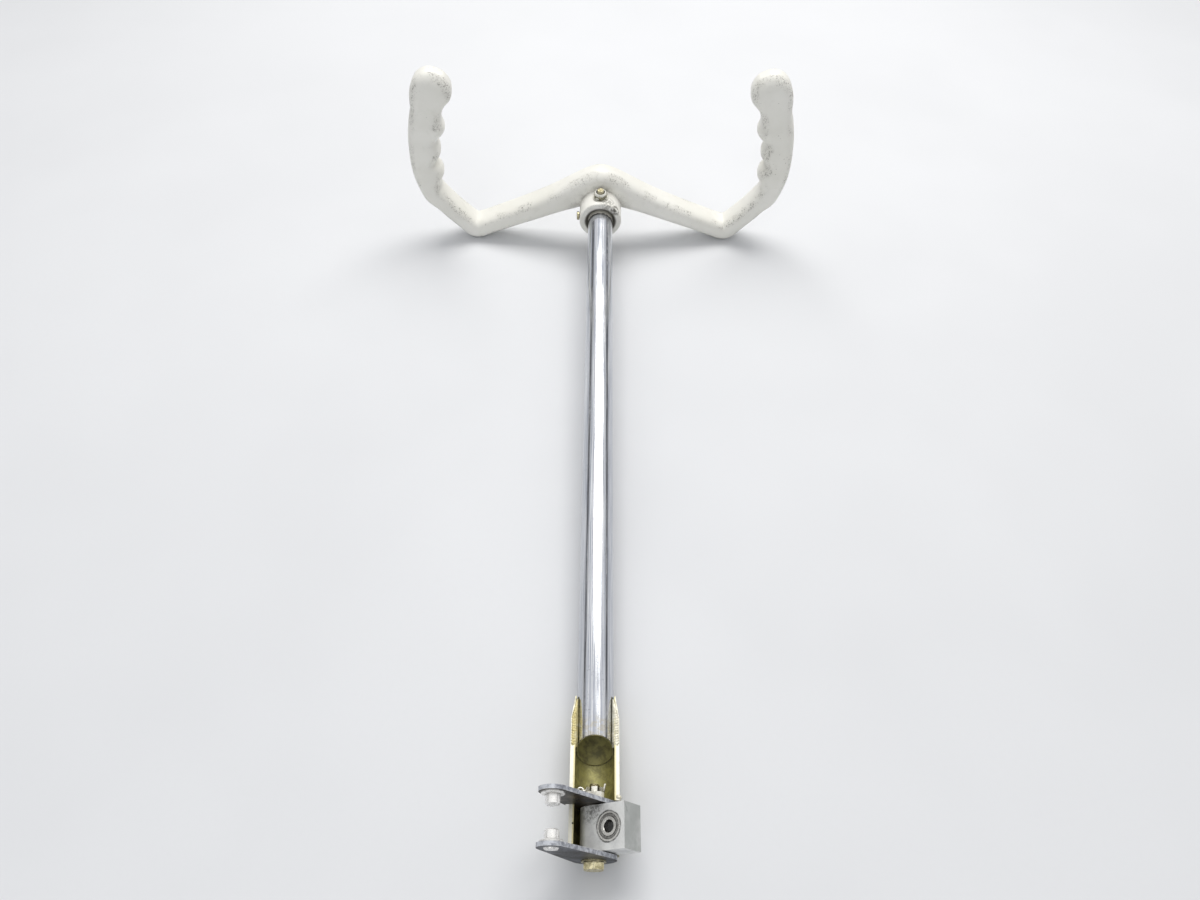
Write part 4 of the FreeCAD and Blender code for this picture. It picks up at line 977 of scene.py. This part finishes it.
class CONTROL_WHEEL_OT_stage(bpy.types.Operator):
    """Set out the floor, the lamps and the camera"""
    bl_idname = "control_wheel.stage"
    bl_label = "Set the stage"

    def execute(self, context):
        settings = context.scene.wheel_stage
        self.floor(settings)
        self.lamps(context, settings)
        self.camera(context, settings)
        context.scene.view_settings.view_transform = "Standard"
        return {"FINISHED"}

    def floor(self, settings):
        """A large pale sheet that passes under the wheel's corners and the channel."""
        f = Finish("studio_floor", roughness=0.8)
        cloud = f.noise(3.0, 3.0, 0.6)
        fine = f.noise(240.0, 3.0, 0.6)
        shade = tuple(c * 0.965 for c in settings.floor)
        base = f.blend(f.fade(cloud, 0.3, 0.7), settings.floor, shade)
        f.colour(f.blend(f.fade(fine, 0.4, 0.8, 0.0, 0.25), base, shade))
        f.gloss(f.fade(cloud, 0.3, 0.7, 0.72, 0.86))
        f.bumps((fine, 0.06, 0.0003))
        mesh = bpy.data.meshes.new("studio_floor")
        count = FLOOR_STEPS
        points = []
        faces = []
        for i in range(count + 1):
            for j in range(count + 1):
                points.append((FLOOR_SIZE * (i / count - 0.5), FLOOR_SIZE * (j / count - 0.5), 0.0))
        for i in range(count):
            for j in range(count):
                k = i * (count + 1) + j
                faces.append((k, k + count + 1, k + count + 2, k + 1))
        mesh.from_pydata(points, [], faces)
        mesh.materials.append(f.material)
        floor = bpy.data.objects.new("studio_floor", mesh)
        bpy.context.scene.collection.objects.link(floor)
        floor.location = (0.0, 0.033, CAD_BOX[0][2] - 0.0004)
        floor.rotation_euler = (settings.floor_slope, 0.0, 0.0)

    def lamps(self, context, settings):
        rows = (
            ("key_lamp", (0.15, 0.75, 1.45), (0.0, -0.20, 0.0), (1.5, 0.9), settings.key, (1.0, 0.985, 0.96)),
            ("fill_lamp", (-0.5, -1.5, 1.2), (0.0, -0.3, 0.0), (1.2, 1.2), settings.fill, (0.94, 0.97, 1.0)),
        )
        for name, place, target, size, power, colour in rows:
            lamp = bpy.data.lights.new(name, "AREA")
            lamp.shape = "RECTANGLE"
            lamp.size, lamp.size_y = size
            lamp.energy = power
            lamp.color = colour
            made = bpy.data.objects.new(name, lamp)
            context.scene.collection.objects.link(made)
            made.location = place
            way = Vector(target) - Vector(place)
            made.rotation_euler = way.to_track_quat("-Z", "Y").to_euler()
        self.room(context, settings)

    def room(self, context, settings):
        """Metal sees a pale ceiling over a dark band of wall, and the camera sees a plain pale backdrop."""
        world = bpy.data.worlds.new("studio_room")
        world.use_nodes = True
        tree = world.node_tree
        sky = tree.nodes["Background"]
        place = tree.nodes.new("ShaderNodeTexCoord")
        split = tree.nodes.new("ShaderNodeSeparateXYZ")
        ramp = tree.nodes.new("ShaderNodeValToRGB")
        tree.links.new(place.outputs["Generated"], split.inputs[0])
        tree.links.new(split.outputs["Z"], ramp.inputs[0])
        bands = ((0.0, 0.86), (0.07, 0.80), (0.14, 0.16), (0.29, 0.14), (0.40, 0.85), (0.52, 1.0))
        ramp.color_ramp.elements[0].position = bands[0][0]
        ramp.color_ramp.elements[1].position = bands[-1][0]
        for stop, value in bands[1:-1]:
            ramp.color_ramp.elements.new(stop)
        for element, (stop, value) in zip(ramp.color_ramp.elements, bands):
            element.position = stop
            element.color = (value, value * 1.005, value * 1.015, 1.0)
        path = tree.nodes.new("ShaderNodeLightPath")
        plain = tree.nodes.new("ShaderNodeMix")
        plain.data_type = "RGBA"
        plain.inputs[7].default_value = (0.90, 0.905, 0.915, 1.0)
        tree.links.new(path.outputs["Is Camera Ray"], plain.inputs[0])
        tree.links.new(ramp.outputs["Color"], plain.inputs[6])
        tree.links.new(plain.outputs[2], sky.inputs["Color"])
        seen = path.outputs["Is Camera Ray"]
        for other in ("Is Glossy Ray", "Is Transmission Ray"):
            either = tree.nodes.new("ShaderNodeMath")
            either.operation = "MAXIMUM"
            tree.links.new(seen, either.inputs[0])
            tree.links.new(path.outputs[other], either.inputs[1])
            seen = either.outputs[0]
        level = tree.nodes.new("ShaderNodeMapRange")
        tree.links.new(seen, level.inputs["Value"])
        level.inputs["To Min"].default_value = settings.sky
        level.inputs["To Max"].default_value = 1.0
        tree.links.new(level.outputs["Result"], sky.inputs["Strength"])
        context.scene.world = world

    def camera(self, context, settings):
        data = bpy.data.cameras.new("photo_camera")
        data.sensor_width = 36.0
        data.sensor_fit = "HORIZONTAL"
        data.lens = settings.lens
        data.clip_start = 0.01
        data.clip_end = 50.0
        made = bpy.data.objects.new("photo_camera", data)
        context.scene.collection.objects.link(made)
        tilt = Matrix.Rotation(CAMERA_TILT, 4, "X") @ Matrix.Rotation(CAMERA_TURN, 4, "Z")
        made.matrix_world = Matrix.Translation(CAMERA_PLACE) @ tilt
        context.scene.camera = made


PROPERTY_GROUPS = (
    ("wheel_enamel", EnamelSettings),
    ("wheel_fasteners", FastenerSettings),
    ("wheel_tube", TubeSettings),
    ("wheel_bracket", BracketSettings),
    ("wheel_block", BlockSettings),
    ("wheel_stage", StageSettings),
)

OPERATORS = (
    CONTROL_WHEEL_OT_casting,
    CONTROL_WHEEL_OT_hub_fasteners,
    CONTROL_WHEEL_OT_tube,
    CONTROL_WHEEL_OT_bracket,
    CONTROL_WHEEL_OT_pivot,
    CONTROL_WHEEL_OT_block,
    CONTROL_WHEEL_OT_stage,
)


class CONTROL_WHEEL_PT_sidebar(bpy.types.Panel):
    """Lists the steps and settings of the control wheel"""
    bl_idname = "CONTROL_WHEEL_PT_sidebar"
    bl_label = "Control Wheel"
    bl_space_type = "VIEW_3D"
    bl_region_type = "UI"
    bl_category = "Control Wheel"

    def draw(self, context):
        for step in OPERATORS:
            self.layout.operator(step.bl_idname)
        for name, group in PROPERTY_GROUPS:
            box = self.layout.box()
            settings = getattr(context.scene, name)
            for key in group.__annotations__:
                box.prop(settings, key)


def register():
    for name, group in PROPERTY_GROUPS:
        bpy.utils.register_class(group)
        setattr(bpy.types.Scene, name, bpy.props.PointerProperty(type=group))
    for item in OPERATORS:
        bpy.utils.register_class(item)
    bpy.utils.register_class(CONTROL_WHEEL_PT_sidebar)


def unregister():
    bpy.utils.unregister_class(CONTROL_WHEEL_PT_sidebar)
    for item in reversed(OPERATORS):
        bpy.utils.unregister_class(item)
    for name, group in reversed(PROPERTY_GROUPS):
        delattr(bpy.types.Scene, name)
        bpy.utils.unregister_class(group)


def main():
    register()
    bpy.ops.control_wheel.casting()
    bpy.ops.control_wheel.hub_fasteners()
    bpy.ops.control_wheel.tube()
    bpy.ops.control_wheel.bracket()
    bpy.ops.control_wheel.pivot()
    bpy.ops.control_wheel.block()
    bpy.ops.control_wheel.stage()


if __name__ == "__main__":
    main()
